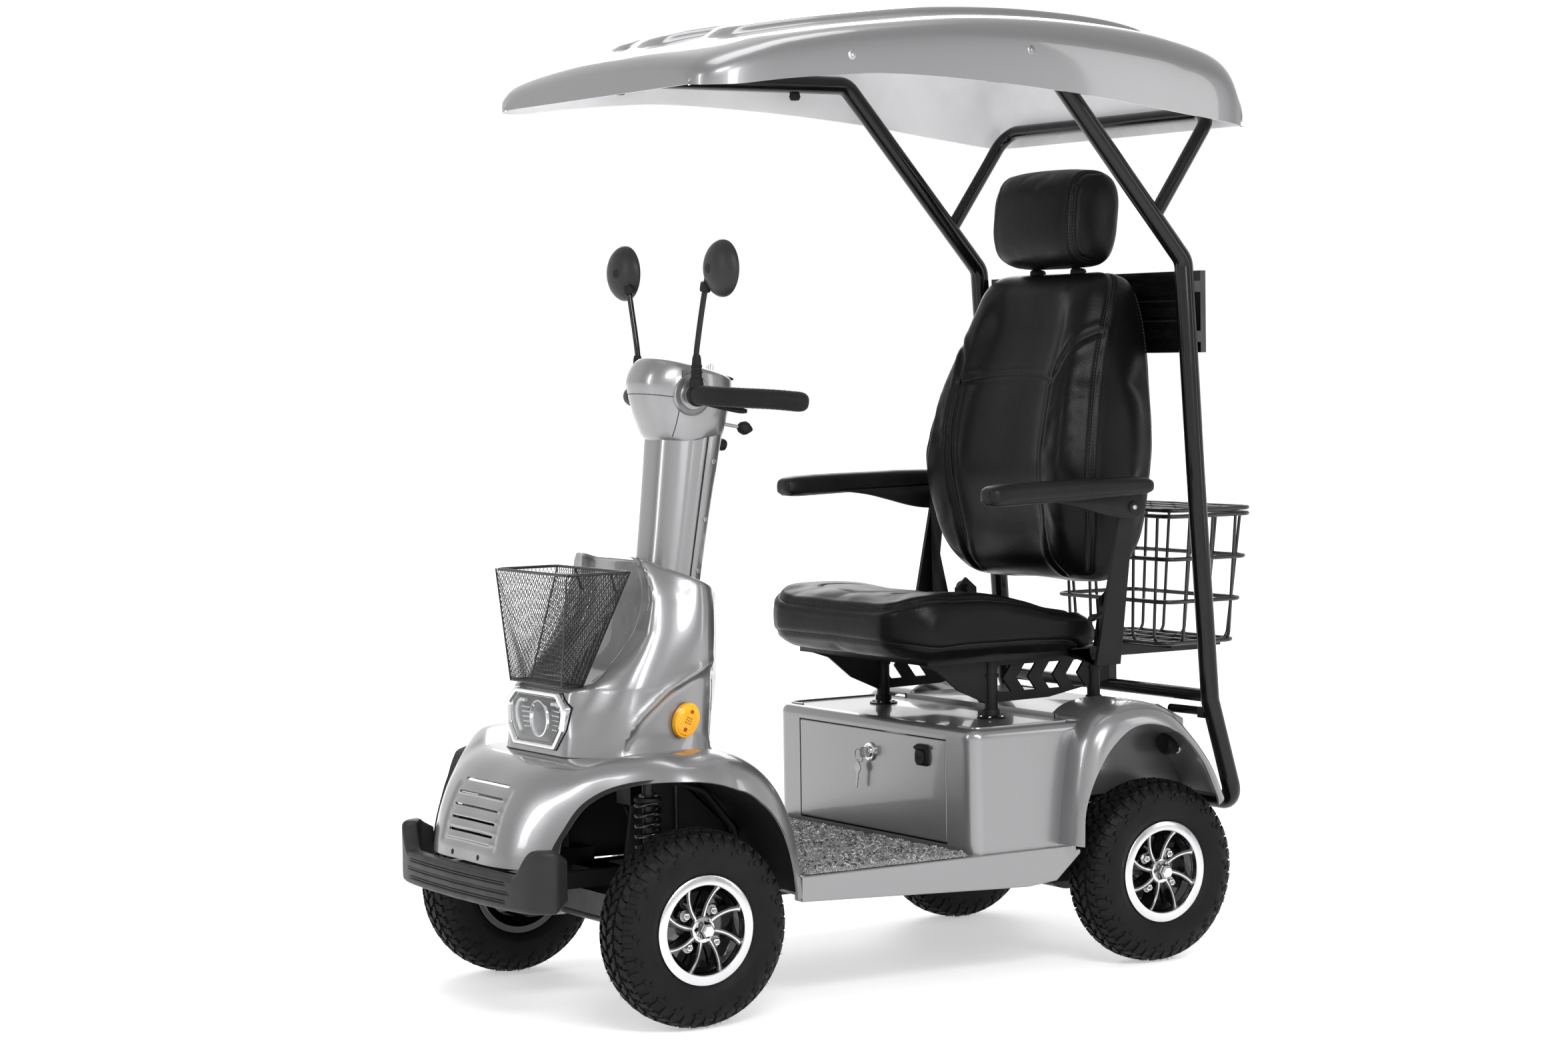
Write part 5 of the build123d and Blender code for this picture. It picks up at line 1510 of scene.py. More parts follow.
def seams(ob, lines, depth=3.0, width=5.0, stitch=True, body="chassis", name="seam_shade", ray=None, gap=4.2):
    # sewn channels pressed into the skin, with a double row of thread and a dark line of painted shade along the bottom
    # of each channel
    tree = bvh_of(ob)
    a = co_mm(ob.data)
    nv = np.empty(len(ob.data.vertices) * 3)
    ob.data.vertices.foreach_get("normal", nv)
    nv = nv.reshape(-1, 3)
    push = np.zeros(len(a))
    rows = []
    for line in lines:
        dense = cr(line, max(40, int(len(line) * 30)))
        p, n = snap(tree, dense, ray=ray)
        # even spacing
        s = np.r_[0, np.cumsum(np.linalg.norm(np.diff(p, axis=0), axis=1))]
        k = max(10, int(s[-1] / 3))
        si = np.linspace(0, s[-1], k)
        p = np.column_stack([np.interp(si, s, p[:, j]) for j in range(3)])
        n = np.column_stack([np.interp(si, s, n[:, j]) for j in range(3)])
        rows.append((p, n))
        lo, hi = p.min(0) - 22, p.max(0) + 22
        near = np.where(((a > lo) & (a < hi)).all(1))[0]
        d = np.full(len(near), 1e9)
        for q in p:
            d = np.minimum(d, ((a[near] - q) ** 2).sum(1))
        d = np.sqrt(d)
        g = depth * np.exp(-(d / width) ** 2) - 0.35 * depth * np.exp(-((d - 2.6 * width) / (1.3 * width)) ** 2)
        push[near] = np.where(np.abs(g) > np.abs(push[near]), g, push[near])
    put_mm(ob.data, a - nv * push[:, None])
    b = Batch()
    tree = bvh_of(ob)
    for p, n in rows:
        # painted shade: a dark line along the bottom of the channel
        b.tube([p[i] - n[i] * (depth - 0.1) for i in range(len(p))], 0.9, 5, 1)
        if not stitch:
            continue
        s = np.r_[0, np.cumsum(np.linalg.norm(np.diff(p, axis=0), axis=1))]
        t = np.gradient(p, axis=0)
        t /= np.maximum(np.linalg.norm(t, axis=1)[:, None], 1e-9)
        lat = np.cross(t, n)
        for side_ in (1, -1):
            for at in np.arange(3, s[-1] - 4, 6.5):
                seg = []
                for e in (0, 3.9):
                    q = np.array([np.interp(at + e, s, (p + lat * gap * side_)[:, j]) for j in range(3)])
                    h, m_ = snap(tree, [q], 0.25)
                    seg.append(h[0])
                if np.linalg.norm(seg[1] - seg[0]) > 0.5:
                    b.tube(seg, 0.55, 4, 0)
    return b.make(name, ["stitch", "seam_shade"], body, sharp=50)


# ---------------------------------------------------------- seat cushion
def cushion():
    out = [(-434, 572), (-436, 600), (-420, 617), (-375, 624), (-330, 632), (-262, 652), (-190, 667), (-120, 672),
           (-50, 672), (-14, 666), (4, 648), (9, 622), (6, 600), (-6, 582), (-30, 571), (-90, 567), (-250, 566),
           (-400, 567)]
    side_ = cr(out, 90, closed=True)
    cx, cz = -215, 612
    ys = [-250, -249, -246, -241, -234, -225, -212, -196, -170, -130, -85, -40, 0, 40, 85, 130, 170, 196, 212, 225,
          234, 241, 246, 249, 250]
    rings = []
    for y in ys:
        e = max(0.0, abs(y) - 205) / 45
        r = 45 * (1 - math.sqrt(max(0.0, 1 - e * e)))
        ring = []
        for x, z in side_:
            dx, dz = x - cx, z - cz
            kx = (abs(dx) - r * 0.9) / max(abs(dx), 1e-6) if abs(dx) > r else 1
            k = 1 - r / 260
            zz = cz + dz * (1 - r / 66)
            xx = cx + dx * k
            # dished where the rider sits, raised at the sides
            if dz > 0:
                zz -= 7 * math.exp(-((y) / 120.0) ** 2) * math.exp(-((x + 250) / 120.0) ** 2)
                zz += 5 * float(smoothstep(150, 205, abs(y)))
            # corners in plan are rounded
            if x > -60:
                xx -= 34 * float(smoothstep(150, 250, abs(y))) ** 1.5 * float(smoothstep(-80, 0, x))
            ring.append((xx, y, zz))
        rings.append(ring)
    ob = loft("seat_cushion_skin", rings, "leather", "chassis", replaces=["seat_cushion"], slot="leather")
    inflate(ob, 7.5, 5.0, smooth=6)
    # lines: round the top edge, centre panel, bolster in front
    rim = [(-426, 150, 640), (-380, 212, 650), (-300, 226, 660), (-200, 229, 668), (-100, 228, 672),
           (-30, 212, 668), (2, 172, 662), (8, 100, 658), (9, 0, 657), (8, -100, 658), (2, -172, 662),
           (-30, -212, 668), (-100, -228, 672), (-200, -229, 668), (-300, -226, 660), (-380, -212, 650),
           (-426, -150, 640)]
    low = [(x + 3, y * 1.03, 590) for x, y, z in rim]
    seams(ob, [rim], 4.2, 5.0, name="cushion_edge_seam", gap=5.0)
    seams(ob, [low], 2.2, 4.0, stitch=False, name="cushion_low_seam")
    panel = [[(-420, 120, 720), (-300, 138, 720), (-180, 150, 720), (-90, 150, 720), (-60, 120, 720)],
             [(-420, -120, 720), (-300, -138, 720), (-180, -150, 720), (-90, -150, 720), (-60, -120, 720)]]
    seams(ob, panel, 3.0, 4.5, name="cushion_panel_seams", ray=(0, 0, -1))
    # perforated insert in front
    tree = bvh_of(ob)
    v, f = [], []
    n, rr = 40, 9
    for i in range(rr + 1):
        t = i / rr
        for k in range(n):
            a = 2 * math.pi * k / n
            r0 = 1 if i < rr else 1.012
            x = -108 + 64 * t * r0 * math.copysign(abs(math.cos(a)) ** 0.8, math.cos(a))
            y = 96 * t * r0 * math.copysign(abs(math.sin(a)) ** 0.8, math.sin(a)) + 0.001 * i
            h, nn = snap(tree, [(x, y, 760)], 0.0, ray=(0, 0, -1))
            v.append(tuple(h[0] + nn[0] * (1.6 + 1.2 * (1 - t * t) if i < rr else -1.5)))
    make("cushion_insert", v, grid_faces(rr + 1, n, close_c=True), "leather_perf", "chassis", sharp=60, slot="leather")


cushion()


# ---------------------------------------------------------------- backrest
LB = math.radians(6)


def back_pt(h, u, y):
    return (-462 - h * math.sin(LB) + u * math.cos(LB), y, 648 + h * math.cos(LB) + u * math.sin(LB))


BACK = [(30, 168, 20, -34), (40, 190, 42, -54), (70, 208, 76, -70), (120, 228, 100, -84), (240, 238, 130, -94),
        (330, 231, 124, -94), (400, 217, 110, -92), (470, 204, 88, -86), (530, 192, 70, -74), (575, 180, 54, -58),
        (598, 162, 34, -42), (604, 142, 20, -30)]


def backrest():
    rows = cr(BACK, 64)
    rings = []
    for h, w, f, r in rows:
        mid = float(smoothstep(40, 150, h) * smoothstep(610, 470, h))
        d = 32 * mid
        half = [(f - d, 0), (f - d, 0.30 * w), (f - d * 0.90, 0.48 * w), (f - d * 0.42, 0.62 * w),
                (f + 1 * mid, 0.76 * w), (f - 3, 0.87 * w),
                (f * 0.66 + r * 0.03, 0.96 * w), (f * 0.25 + r * 0.15, w), (r * 0.45, 0.995 * w), (r * 0.82, 0.95 * w),
                (r, 0.80 * w), (r - 2, 0.5 * w), (r - 3, 0)]
        half = cr(half, 48)
        ring = [back_pt(h, u, y) for u, y in half] + [back_pt(h, u, -y) for u, y in half[::-1][1:-1]]
        rings.append(ring)
    ob = loft("seat_back_skin", rings, "leather", "seatback", replaces=["seat_back"], slot="leather")
    inflate(ob, 7.5, 4.5, smooth=6)
    front = (-math.cos(LB), 0, -math.sin(LB))

    def fr(pts):
        return [back_pt(h, 200, y) for h, y in pts]

    # long curved lines of the side bolsters
    left = fr([(44, 134), (90, 128), (155, 134), (250, 142), (314, 146), (389, 146), (440, 160), (486, 196)])
    right = [(x, -y, z) for x, y, z in left]
    seams(ob, [left, right], 4.2, 5.2, body="seatback", stitch=False, name="back_bolster_seams", ray=front)
    arch = fr([(389, -145), (402, -100), (407, -50), (409, 0), (407, 50), (402, 100), (389, 145)])
    seams(ob, [arch], 3.6, 5.0, stitch=False, body="seatback", name="back_arch_seam", ray=front)
    # piping where the front panel meets the side panel
    edge = []
    for h, y, u in ((52, 190, 24), (110, 222, 50), (180, 235, 70), (260, 238, 76), (340, 230, 70), (420, 213, 56),
                    (500, 199, 36), (560, 186, 16), (592, 168, 2), (604, 120, -6), (606, 0, -6)):
        edge.append(back_pt(h, u, y))
    far = [back_pt(h, u, -y) for h, y, u in ((606, 60, -6), (604, 120, -6), (592, 168, 2), (560, 186, 16), (500, 199, 40),
                                             (440, 211, 72), (400, 216, 97), (359, 212, 114), (313, 205, 126),
                                             (262, 205, 130), (209, 215, 120), (160, 226, 95), (110, 222, 58), (52, 190, 24))]
    full = edge + far
    seams(ob, [full], 3.0, 4.2, body="seatback", name="back_edge_seam")
    rear = []
    for h, y, u in ((60, 196, -60), (120, 216, -76), (260, 226, -86), (400, 206, -84), (500, 190, -72), (570, 168, -52),
                    (592, 120, -44), (596, 0, -44)):
        rear.append(back_pt(h, u, y))
    full = rear + [(x, -y, z) for x, y, z in rear[::-1][1:]]
    seams(ob, [full], 3.0, 4.2, body="seatback", name="back_rear_seam")


backrest()


# ---------------------------------------------------------------- headrest
def headrest():
    rows = cr([(612, 98, 34, -6), (618, 114, 52, -22), (634, 129, 70, -34), (668, 137, 78, -40), (700, 138, 79, -41),
               (740, 138, 77, -40), (768, 131, 71, -34), (784, 118, 56, -22), (790, 98, 36, -6)], 36)
    rings = []
    for h, w, f, r in rows:
        half = [(f, 0), (f - 1, 0.45 * w), (f - 4, 0.74 * w), (f - 12, 0.90 * w), (f * 0.45, 0.985 * w), (0, w),
                (r * 0.6, 0.97 * w), (r * 0.93, 0.86 * w), (r, 0.6 * w), (r, 0)]
        half = cr(half, 40)
        rings.append([back_pt(h, u, y) for u, y in half] + [back_pt(h, u, -y) for u, y in half[::-1][1:-1]])
    ob = loft("headrest_skin", rings, "leather", "head_restraint", replaces=["headrest"], slot="leather")
    inflate(ob, 6.5, 4.5, smooth=4)
    for s, tag in ((1, "left"), (-1, "right")):
        loop = []
        for h, u in ((616, 14), (622, 46), (660, 66), (700, 68), (750, 66), (782, 44), (789, 14)):
            loop.append(back_pt(h, u, 118 * s))
        seams(ob, [loop], 3.4, 4.2, body="head_restraint", name="headrest_seam_" + tag)
    # rods and their sleeves
    b = Batch()
    for s in (1, -1):
        b.tube([back_pt(h, 0, 62 * s) for h in (574, 590, 606, 622, 640)], 6.0, 16, 0)
    b.make("headrest_rods", ["chrome"], "head_restraint", sharp=50)
    b = Batch()
    for s in (1, -1):
        p = back_pt(600, 0, 62 * s)
        b.lathe([(-6, 0), (-6, 15), (6, 15), (9.5, 12.5), (10.5, 9), (10.5, 6.4)], p, (-math.sin(LB), 0, math.cos(LB)), 24, 0)
    b.make("headrest_sleeves", ["plastic_dark"], "seatback", sharp=40)


headrest()


# --------------------------------------------------------------- armrests
def armrest(tag, s):
    body = tag + "_armrest"
    rows = cr([(-471, 852, 868, 20), (-462, 847, 873, 24.5), (-440, 845.5, 874, 26), (-300, 841, 872.5, 26),
               (-180, 837, 871.5, 26), (-135, 835, 870.5, 26), (-120, 836, 868, 24), (-112, 841, 863, 18)], 48)
    rings = []
    for x, z0, z1, hw in rows:
        m = 40
        ring = []
        for k in range(m):
            t = 2 * math.pi * k / m
            c1, s1 = math.cos(t), math.sin(t)
            ex = 0.42
            yy = math.copysign(abs(c1) ** ex, c1) * hw
            zz = (z0 + z1) / 2 + math.copysign(abs(s1) ** 0.55, s1) * (z1 - z0) / 2
            if s1 > 0:
                zz += 1.6 * (1 - (yy / 27) ** 2)
            ring.append((x, 328 * s + yy, zz))
        rings.append(ring)
    ob = loft("armrest_pad_" + tag, rings, "pad", body, replaces=["armrest_" + tag], slot="pad_black")
    inflate(ob, 5.5, 2.5, frames=12, pressure=3.0, smooth=1)
    # seam along the side of the pad
    line = [(-462, 354.5 * s, 851), (-380, 355 * s, 850), (-250, 355 * s, 847), (-150, 354 * s, 843), (-124, 346 * s, 842),
            (-112, 328 * s, 843), (-124, 308 * s, 842)]
    seams(ob, [line], 1.2, 2.2, stitch=False, body=body, name="armrest_seam_" + tag)
    # bracket underneath
    y0, y1 = sorted(((320 - 17) * s, (320 - 5) * s))
    up = [(-230, 842), (-300, 832), (-345, 821), (-400, 807), (-440, 802), (-462, 806), (-470, 822), (-470, 846),
          (-240, 843)]
    out = cr(up[:7], 30).tolist() + up[7:]
    n = len(out)
    v = [(x, y0, z) for x, z in out] + [(x, y1, z) for x, z in out]
    f = [tuple(range(n)), tuple(range(2 * n - 1, n - 1, -1))]
    f += [(i, (i + 1) % n, n + (i + 1) % n, n + i) for i in range(n)]
    br = make("armrest_bracket_" + tag, v, f, "plastic_dark", body, smooth=False)
    fix_normals(br)
    bevel(br, 2.0, 2, 40)
    bake(br)
    shade(br, True, 40)
    b = Batch()
    b.lathe([(0, 0), (0, 11), (2, 11), (2.8, 10), (2.8, 0)], (-448, y1 if s > 0 else y0, 822), (0, s, 0), 32, 1)
    b.lathe(dome(5.5, 3.0, 4), (-448, (y1 if s > 0 else y0) + 2.8 * s, 822), (0, s, 0), 6, 0)
    b.make("armrest_bolt_" + tag, ["steel", "plastic_dark"], body, sharp=40)


armrest("left", 1)
armrest("right", -1)

# ================================================================ tiller
LEAN = math.radians(8.5)


def till(h, u, y):
    return (331 - h * math.sin(LEAN) + u * math.cos(LEAN), y, 744 + h * math.cos(LEAN) + u * math.sin(LEAN))


def rrect(l, w, r, n=64, bulge=0.0):
    # rounded rectangle, columns u (along), y (across)
    pts = []
    a, b_ = l / 2 - r, w / 2 - r
    for q, (cu, cy, t0) in enumerate(((a, b_, 0), (-a, b_, 90), (-a, -b_, 180), (a, -b_, 270))):
        for t in np.linspace(0, 90, 7):
            g = math.radians(t0 + t)
            pts.append((cu + r * math.cos(g), cy + r * math.sin(g)))
    out = cr(pts, n, closed=True)
    if bulge:
        out = [(u + bulge * (1 - (2 * y / w) ** 2) * (1 if u > 0 else 0), y) for u, y in out]
    return [(float(u), float(y)) for u, y in out]


def column():
    rows = cr([(-60, 104, 100, 34), (0, 106, 103, 36), (60, 110, 106, 38), (150, 118, 109, 40), (250, 128, 112, 40)], 40)
    front, rear = [], []
    for h, l, w, r in rows:
        sec = rrect(l, w, r, 72, 2.0)
        ring = []
        for u, y in sec:
            # crease along each flank, softer towards the top
            t = u / (l / 2)
            groove = 1.7 * math.exp(-((t + 0.26) / 0.035) ** 2)
            step_ = 2.6 * float(smoothstep(-0.24, -0.34, t))
            crease = 1.5 * math.exp(-((t - 0.30) / 0.10) ** 2)
            d = groove + step_ - crease
            k = math.hypot(u, y)
            ring.append(till(h, u - d * u / k * 0.3, y - d * np.sign(y) * min(1, abs(y) / 20)))
        front.append(ring)
    ob = loft("column_cover", front, "silver", "tiller", replaces=["steering_column"], slot="silver_body")
    shade(ob, True, 45)
    b = Batch()
    for s in (1, -1):
        for h in (-8, 82, 184):
            w = float(np.interp(h, rows[:, 0], rows[:, 2]))
            l = float(np.interp(h, rows[:, 0], rows[:, 1]))
            p = till(h, -l * 0.30, (w / 2 - 5.4) * s)
            n = (-0.35, s, -0.03)
            b.lathe([(-2, 0), (-2, 5.6), (0.6, 5.6), (1.2, 4.8), (1.2, 4.0), (0.2, 3.6), (0.2, 0)], p, n, 24, 0)
        # painted shade: a dark line in the groove along each flank
        line = [till(h, -l * 0.135, (w / 2 - 0.6) * s) for h, l, w, r in rows]
        b.tube(line, 1.0, 6, 1)
    # shaft and bellows at the foot of the column
    b.tube([till(h, 0, 0) for h in (-250, -150, -60)], 14, 24, 2)
    prof = []
    for k in range(7):
        prof += [(-58 - 9 * k, 40 - 2.2 * k), (-62.5 - 9 * k, 33 - 2.2 * k)]
    b.lathe([(h, r) for h, r in prof], till(0, 0, 0), (-math.sin(LEAN), 0, math.cos(LEAN)), 36, 3)
    b.make("column_details", ["steel", "seam_shade", "frame", "plastic_dark"], "tiller", sharp=45)


column()


def head():
    H = cr([(206, 2, 118, 106, 44), (214, 4, 134, 118, 46), (232, 8, 148, 130, 52), (250, 12, 160, 138, 56),
            (280, 17, 175, 147, 60), (306, 20, 184, 150, 62), (330, 18, 176, 144, 58), (352, 12, 158, 130, 52),
            (372, 6, 140, 116, 48)], 120)
    nring = 84

    def sec(h):
        v = [np.interp(h, H[:, 0], H[:, k]) for k in range(1, 5)]
        return v

    base = rrect(100, 100, 36, nring)
    ang = [math.atan2(y, u) for u, y in base]

    def pt(h, k, sc=1.0):
        c, l, w, r = sec(h)
        # superellipse section, fuller in front
        ct, st = math.cos(ang[k]), math.sin(ang[k])
        ex = 0.78
        u = math.copysign(abs(ct) ** ex, ct) * l / 2 * sc
        y = math.copysign(abs(st) ** ex, st) * w / 2 * sc
        if u < 0:
            y *= 1 - 0.10 * (2 * u / l) ** 2
        return till(h, c + u, y)

    def ztop(x):
        return 1050 + (x - 180) * 62 / 240

    tops = []
    for k in range(nring):
        lo, hi = 220.0, 372.0
        for _ in range(24):
            m = (lo + hi) / 2
            p = pt(m, k)
            if p[2] < ztop(p[0]):
                lo = m
            else:
                hi = m
        tops.append(lo)
    # the front bowl hangs lower than the rear, which closes in on the column
    low, slim = [], []
    for k in range(nring):
        fr_ = float(smoothstep(-0.35, 0.45, math.cos(ang[k])))
        low.append(226 - 22 * fr_)
        slim.append(1 - fr_)

    def body_pt(k, t, sc=1.0):
        h = low[k] + (tops[k] - low[k]) * t
        y_in = 1 - 0.10 * slim[k] * (1 - min(1, t / 0.35)) ** 2
        x, y, z = pt(h, k, sc)
        return (x, y * y_in, z)

    rings = []
    for sc, dh in ((0.70, -5.5), (0.82, -4.6), (0.90, -3.2), (0.955, -1.4), (0.985, -0.4)):
        rings.append([tuple(np.array(body_pt(k, 0.0, sc)) + (0, 0, dh)) for k in range(nring)])
    for t in np.linspace(0.0, 0.97, 56):
        rings.append([body_pt(k, t) for k in range(nring)])
    for sc, up in ((0.995, 1.2), (0.975, 3.0), (0.93, 4.6), (0.86, 5.6), (0.6, 7.4), (0.3, 8.6)):
        ring = []
        for k in range(nring):
            p = pt(tops[k], k)
            c, l, w, r = sec(tops[k])
            ctr = till(tops[k], c, 0)
            q = [ctr[0] + (p[0] - ctr[0]) * sc, p[1] * sc, 0]
            q[2] = ztop(q[0]) + up - 2
            ring.append(tuple(q))
        rings.append(ring)
    ob = loft("tiller_shell", rings, "silver", "tiller", replaces=["tiller_head"], slot="silver_body")
    shade(ob, True, 60)
    b = Batch()
    # parting line round the head and the upright line beside the front panel, drawn as dark lines of painted shade
    tree = bvh_of(ob)
    ring = [pt(283, k, 1.02) for k in range(0, nring, 2)]
    p, n = snap(tree, ring, -0.25)
    b.tube(p, 0.9, 6, 0, closed=True)
    for s in (1, -1):
        line = [till(h, 52 + 0.05 * (h - 210), 95 * s) for h in np.linspace(216, 330, 26)]
        p, n = snap(tree, line, -0.25, ray=(0, -s, 0))
        b.tube(p, 0.9, 6, 0)
        # rings round the root of the handlebar
        c = (322, 62 * s, 1037)
        b.lathe([(0, 36), (11.2, 36), (12.4, 35), (12.4, 33.4), (11.0, 32.6), (11.0, 26), (12.6, 25), (13.4, 22),
                 (14.5, 18), (22, 17.6), (23, 15)], c, (0, s, 0), 48, 1)
    # studs and the key switch on the lid
    for x, y, r, h in ((262, 34, 4.5, 15), (254, 14, 4.5, 15), (262, -26, 8, 6)):
        z = ztop(x) + 3
        b.lathe([(0, 0), (0, r + 3), (2, r + 3), (2.6, r + 1.5), (2.6, r), (h - 1, r), (h, r - 1), (h, 0)], (x, y, z),
                (-0.1, 0, 1), 24, 2)
    # display panel on the rider's side of the lid
    v, f = [], []
    pan = cr([(214, -32), (214, 32), (238, 36), (238, -36)], 40, closed=True)
    for sc, up in ((1.0, 1.5), (1.0, 3.6), (0.94, 4.4)):
        for x, y in pan:
            xx, yy = 226 + (x - 226) * sc, y * sc
            v.append((xx, yy, ztop(xx) + up + 1))
    f = grid_faces(3, 40, close_c=True)
    f.append(tuple(range(80, 120)))
    b.add((v, f), 3)
    b.make("tiller_trim", ["seam_shade", "silver", "chrome", "plastic_dark"], "tiller", sharp=40)
    # levers and knobs on the rider's side
    b = Batch()
    b.tube([(250, 27, 988), (226, 28, 983), (205, 29, 979)], 3.2, 12, 1)
    b.lathe([(0, 0), (1, 4), (6, 9.5), (14, 12.5), (20, 11), (28, 5), (31, 2), (31.5, 0)], (206, 29, 979),
            (-0.96, 0.04, -0.2), 24, 0)
    b.tube([(246, -26, 956), (226, -27, 951)], 6, 14, 1)
    b.lathe([(-6, 0), (-6, 9), (0, 11), (14, 11), (18, 9.5), (19, 6), (19, 0)], (216, -27, 949), (-0.96, 0, -0.2), 24, 0)
    # thumb lever under each grip
    for s in (1, -1):
        b.tube(cr([(308, 96 * s, 1022), (286, 118 * s, 1014), (262, 150 * s, 1008)], 12), 4.0, 10, 0,
               radii=[4.6, 4.6, 4.5, 4.5, 4.4, 4.4, 4.6, 5.0, 5.4, 5.6, 5.2, 3.6])
    b.make("tiller_knobs", ["plastic_dark", "steel"], "tiller", sharp=45)


head()


def handlebar():
    b = Batch()
    for s in (1, -1):
        p = cr([(322, 60 * s, 1037), (326, 92 * s, 1037), (325, 118 * s, 1036), (312, 150 * s, 1034),
                (290, 182 * s, 1031.5), (268, 212 * s, 1029.5), (250, 234 * s, 1027.5), (226, 247 * s, 1024.5),
                (202, 253 * s, 1022)], 70)
        s_ = np.linspace(0, 1, 70)
        r = np.interp(s_, [0, 0.10, 0.13, 0.93, 0.965, 0.985, 0.996, 1.0], [13, 13, 17, 17.2, 15.8, 12.0, 7.0, 1.5])
        # fine rings moulded in the sleeve
        r = r + 0.25 * np.sin(s_ * 260) * (s_ > 0.16) * (s_ < 0.9)
        b.tube(p, 17, 32, 0, radii=list(r))
        b.lathe([(-3, 15), (-3, 19), (0, 20), (5, 20), (7, 18.6), (7, 15)], tuple(p[9]), tuple(p[10] - p[9]), 32, 1)
    b.make("grip_sleeves", ["foam", "plastic_dark"], "tiller", replaces=["handlebar"], sharp=50, slot="black_plastic")


handlebar()


def mirror(tag, s):
    b = Batch()
    # rubber boot with ribs, clamp, stalk
    prof = [(-4, 0), (-4, 12), (3, 12.5), (6, 11.5), (12, 11.5), (13, 9.5), (20, 9.2), (21, 10.4), (24, 10.4), (25, 9.0),
            (30, 8.8), (31, 9.8), (34, 9.8), (35, 8.4), (46, 7.6), (52, 6.0), (52, 0)]
    b.lathe(prof, (330, 98 * s, 1054), (0, 0.05 * s, 1), 28, 0)
    pts = cr([(330, 98 * s, 1092), (330, 100 * s, 1110), (329.5, 107 * s, 1140), (329, 118 * s, 1180), (328, 132 * s, 1226),
              (328, 140 * s, 1244), (326, 152 * s, 1252)], 36)
    b.tube(pts, 5.0, 16, 1)
    b.lathe([(-8, 0), (-8, 8.5), (-6, 9.5), (6, 9.5), (8, 8.5), (8, 0)], (328, 130 * s, 1221), (0, 0.3 * s, 1), 20, 0)
    b.lathe([(-6, 0), (-6, 8), (10, 9.5), (12, 8), (12, 0)], (334, 156 * s, 1252), (-1, 0.1 * s, 0), 20, 0)
    # domed housing, rim and glass
    c = (314, 165 * s, 1252)
    b.lathe([(26, 0), (25.8, 8), (25, 16), (23, 25), (19.5, 33.5), (14.5, 41), (9, 46), (4, 48.6), (0, 49), (-2.2, 48.6),
             (-3.2, 47.4), (-3.2, 46.2), (-1.6, 45.6)], c, (1, 0, 0), 72, 2)
    b.lathe([(-1.6, 45.8), (-1.8, 36), (-2.2, 22), (-2.5, 10), (-2.6, 0)], c, (1, 0, 0), 72, 3)
    b.make("mirror_set_" + tag, ["plastic_dark", "tube", "plastic", "mirror_face"], tag + "_mirror",
           replaces=["mirror_" + tag], sharp=42, slot="black_plastic")


mirror("left", 1)
mirror("right", -1)


# ============================================================== headlight
HL = [(-78, 50), (78, 50), (106, 26), (100, -14), (74, -48), (-74, -48), (-100, -14), (-106, 26)]


def hl_ring(x, sc, sc2=None, n=7):
    p = bend_path([(0, y * sc, 491 + z * (sc2 or sc)) for y, z in HL], 12 * sc, closed=True)
    return [(x - 0.055 * (q[2] - 491), q[1], q[2]) for q in p]


def headlight():
    rings = [hl_ring(582, 0.97), hl_ring(596, 0.985), hl_ring(602, 0.995), hl_ring(605.4, 0.975, 0.96),
             hl_ring(606, 0.94, 0.92), hl_ring(605, 0.885, 0.845), hl_ring(602, 0.865, 0.82), hl_ring(600, 0.86, 0.81)]
    inner = [hl_ring(600, 0.86, 0.81), hl_ring(592, 0.80, 0.74), hl_ring(588, 0.76, 0.70), hl_ring(587, 0.70, 0.64)]
    n = len(rings[0])
    b = Batch()
    v = [p for r in rings for p in r]
    b.add((v, grid_faces(len(rings), n, close_c=True)), 0)
    v = [p for r in inner for p in r]
    f = grid_faces(len(inner), n, close_c=True)
    f.append(tuple(range((len(inner) - 1) * n, len(inner) * n)))
    b.add((v, f), 1)
    # projector with its ring, and two light bars
    b.lathe([(0, 32), (6, 33), (9, 31.5), (9.6, 29), (6, 27), (3, 25.5)], (587, 0, 491), (1, 0, 0), 56, 0)
    b.lathe([(2, 26.5), (6, 25), (9, 20), (11, 12), (11.8, 5), (12, 0)], (586.5, 0, 491), (1, 0, 0), 48, 2)
    for s in (1, -1):
        bar = cr([(594, 46 * s, 519), (594, 66 * s, 518), (593, 79 * s, 505), (594, 77 * s, 488), (595, 62 * s, 466)], 26)
        b.tube(bar, 3.4, 10, 3)
        for k in range(5):
            z = 474 + 8.2 * k
            b.tube([(590, 38 * s, z), (591.5, (58 + 2.4 * k) * s, z)], 1.1, 6, 0)
    ob = b.make("headlight_unit", ["chrome", "plastic_dark", "lens", "pearl"], "chassis", replaces=["headlight"],
                sharp=32, slot="chrome")
    # clear cover, slightly domed
    v, f = [], []
    m = None
    for sc, up in ((0.862, 601), (0.85, 602.2), (0.78, 603.4), (0.6, 604.6), (0.35, 605.4), (0.12, 605.8)):
        r = hl_ring(up, sc, sc * 0.95)
        m = len(r)
        v += r
    f = grid_faces(6, m, close_c=True)
    f.append(tuple(range(5 * m, 6 * m)))
    ob = make("headlight_cover", v, f, "lens", "chassis", ["headlight_lens"], slot="clear_lens")
    if ob.data.polygons[0].normal.x < 0:
        ob.data.flip_normals()
    solidify(ob, 1.6)
    bake(ob)
    shade(ob, True, 40)


headlight()

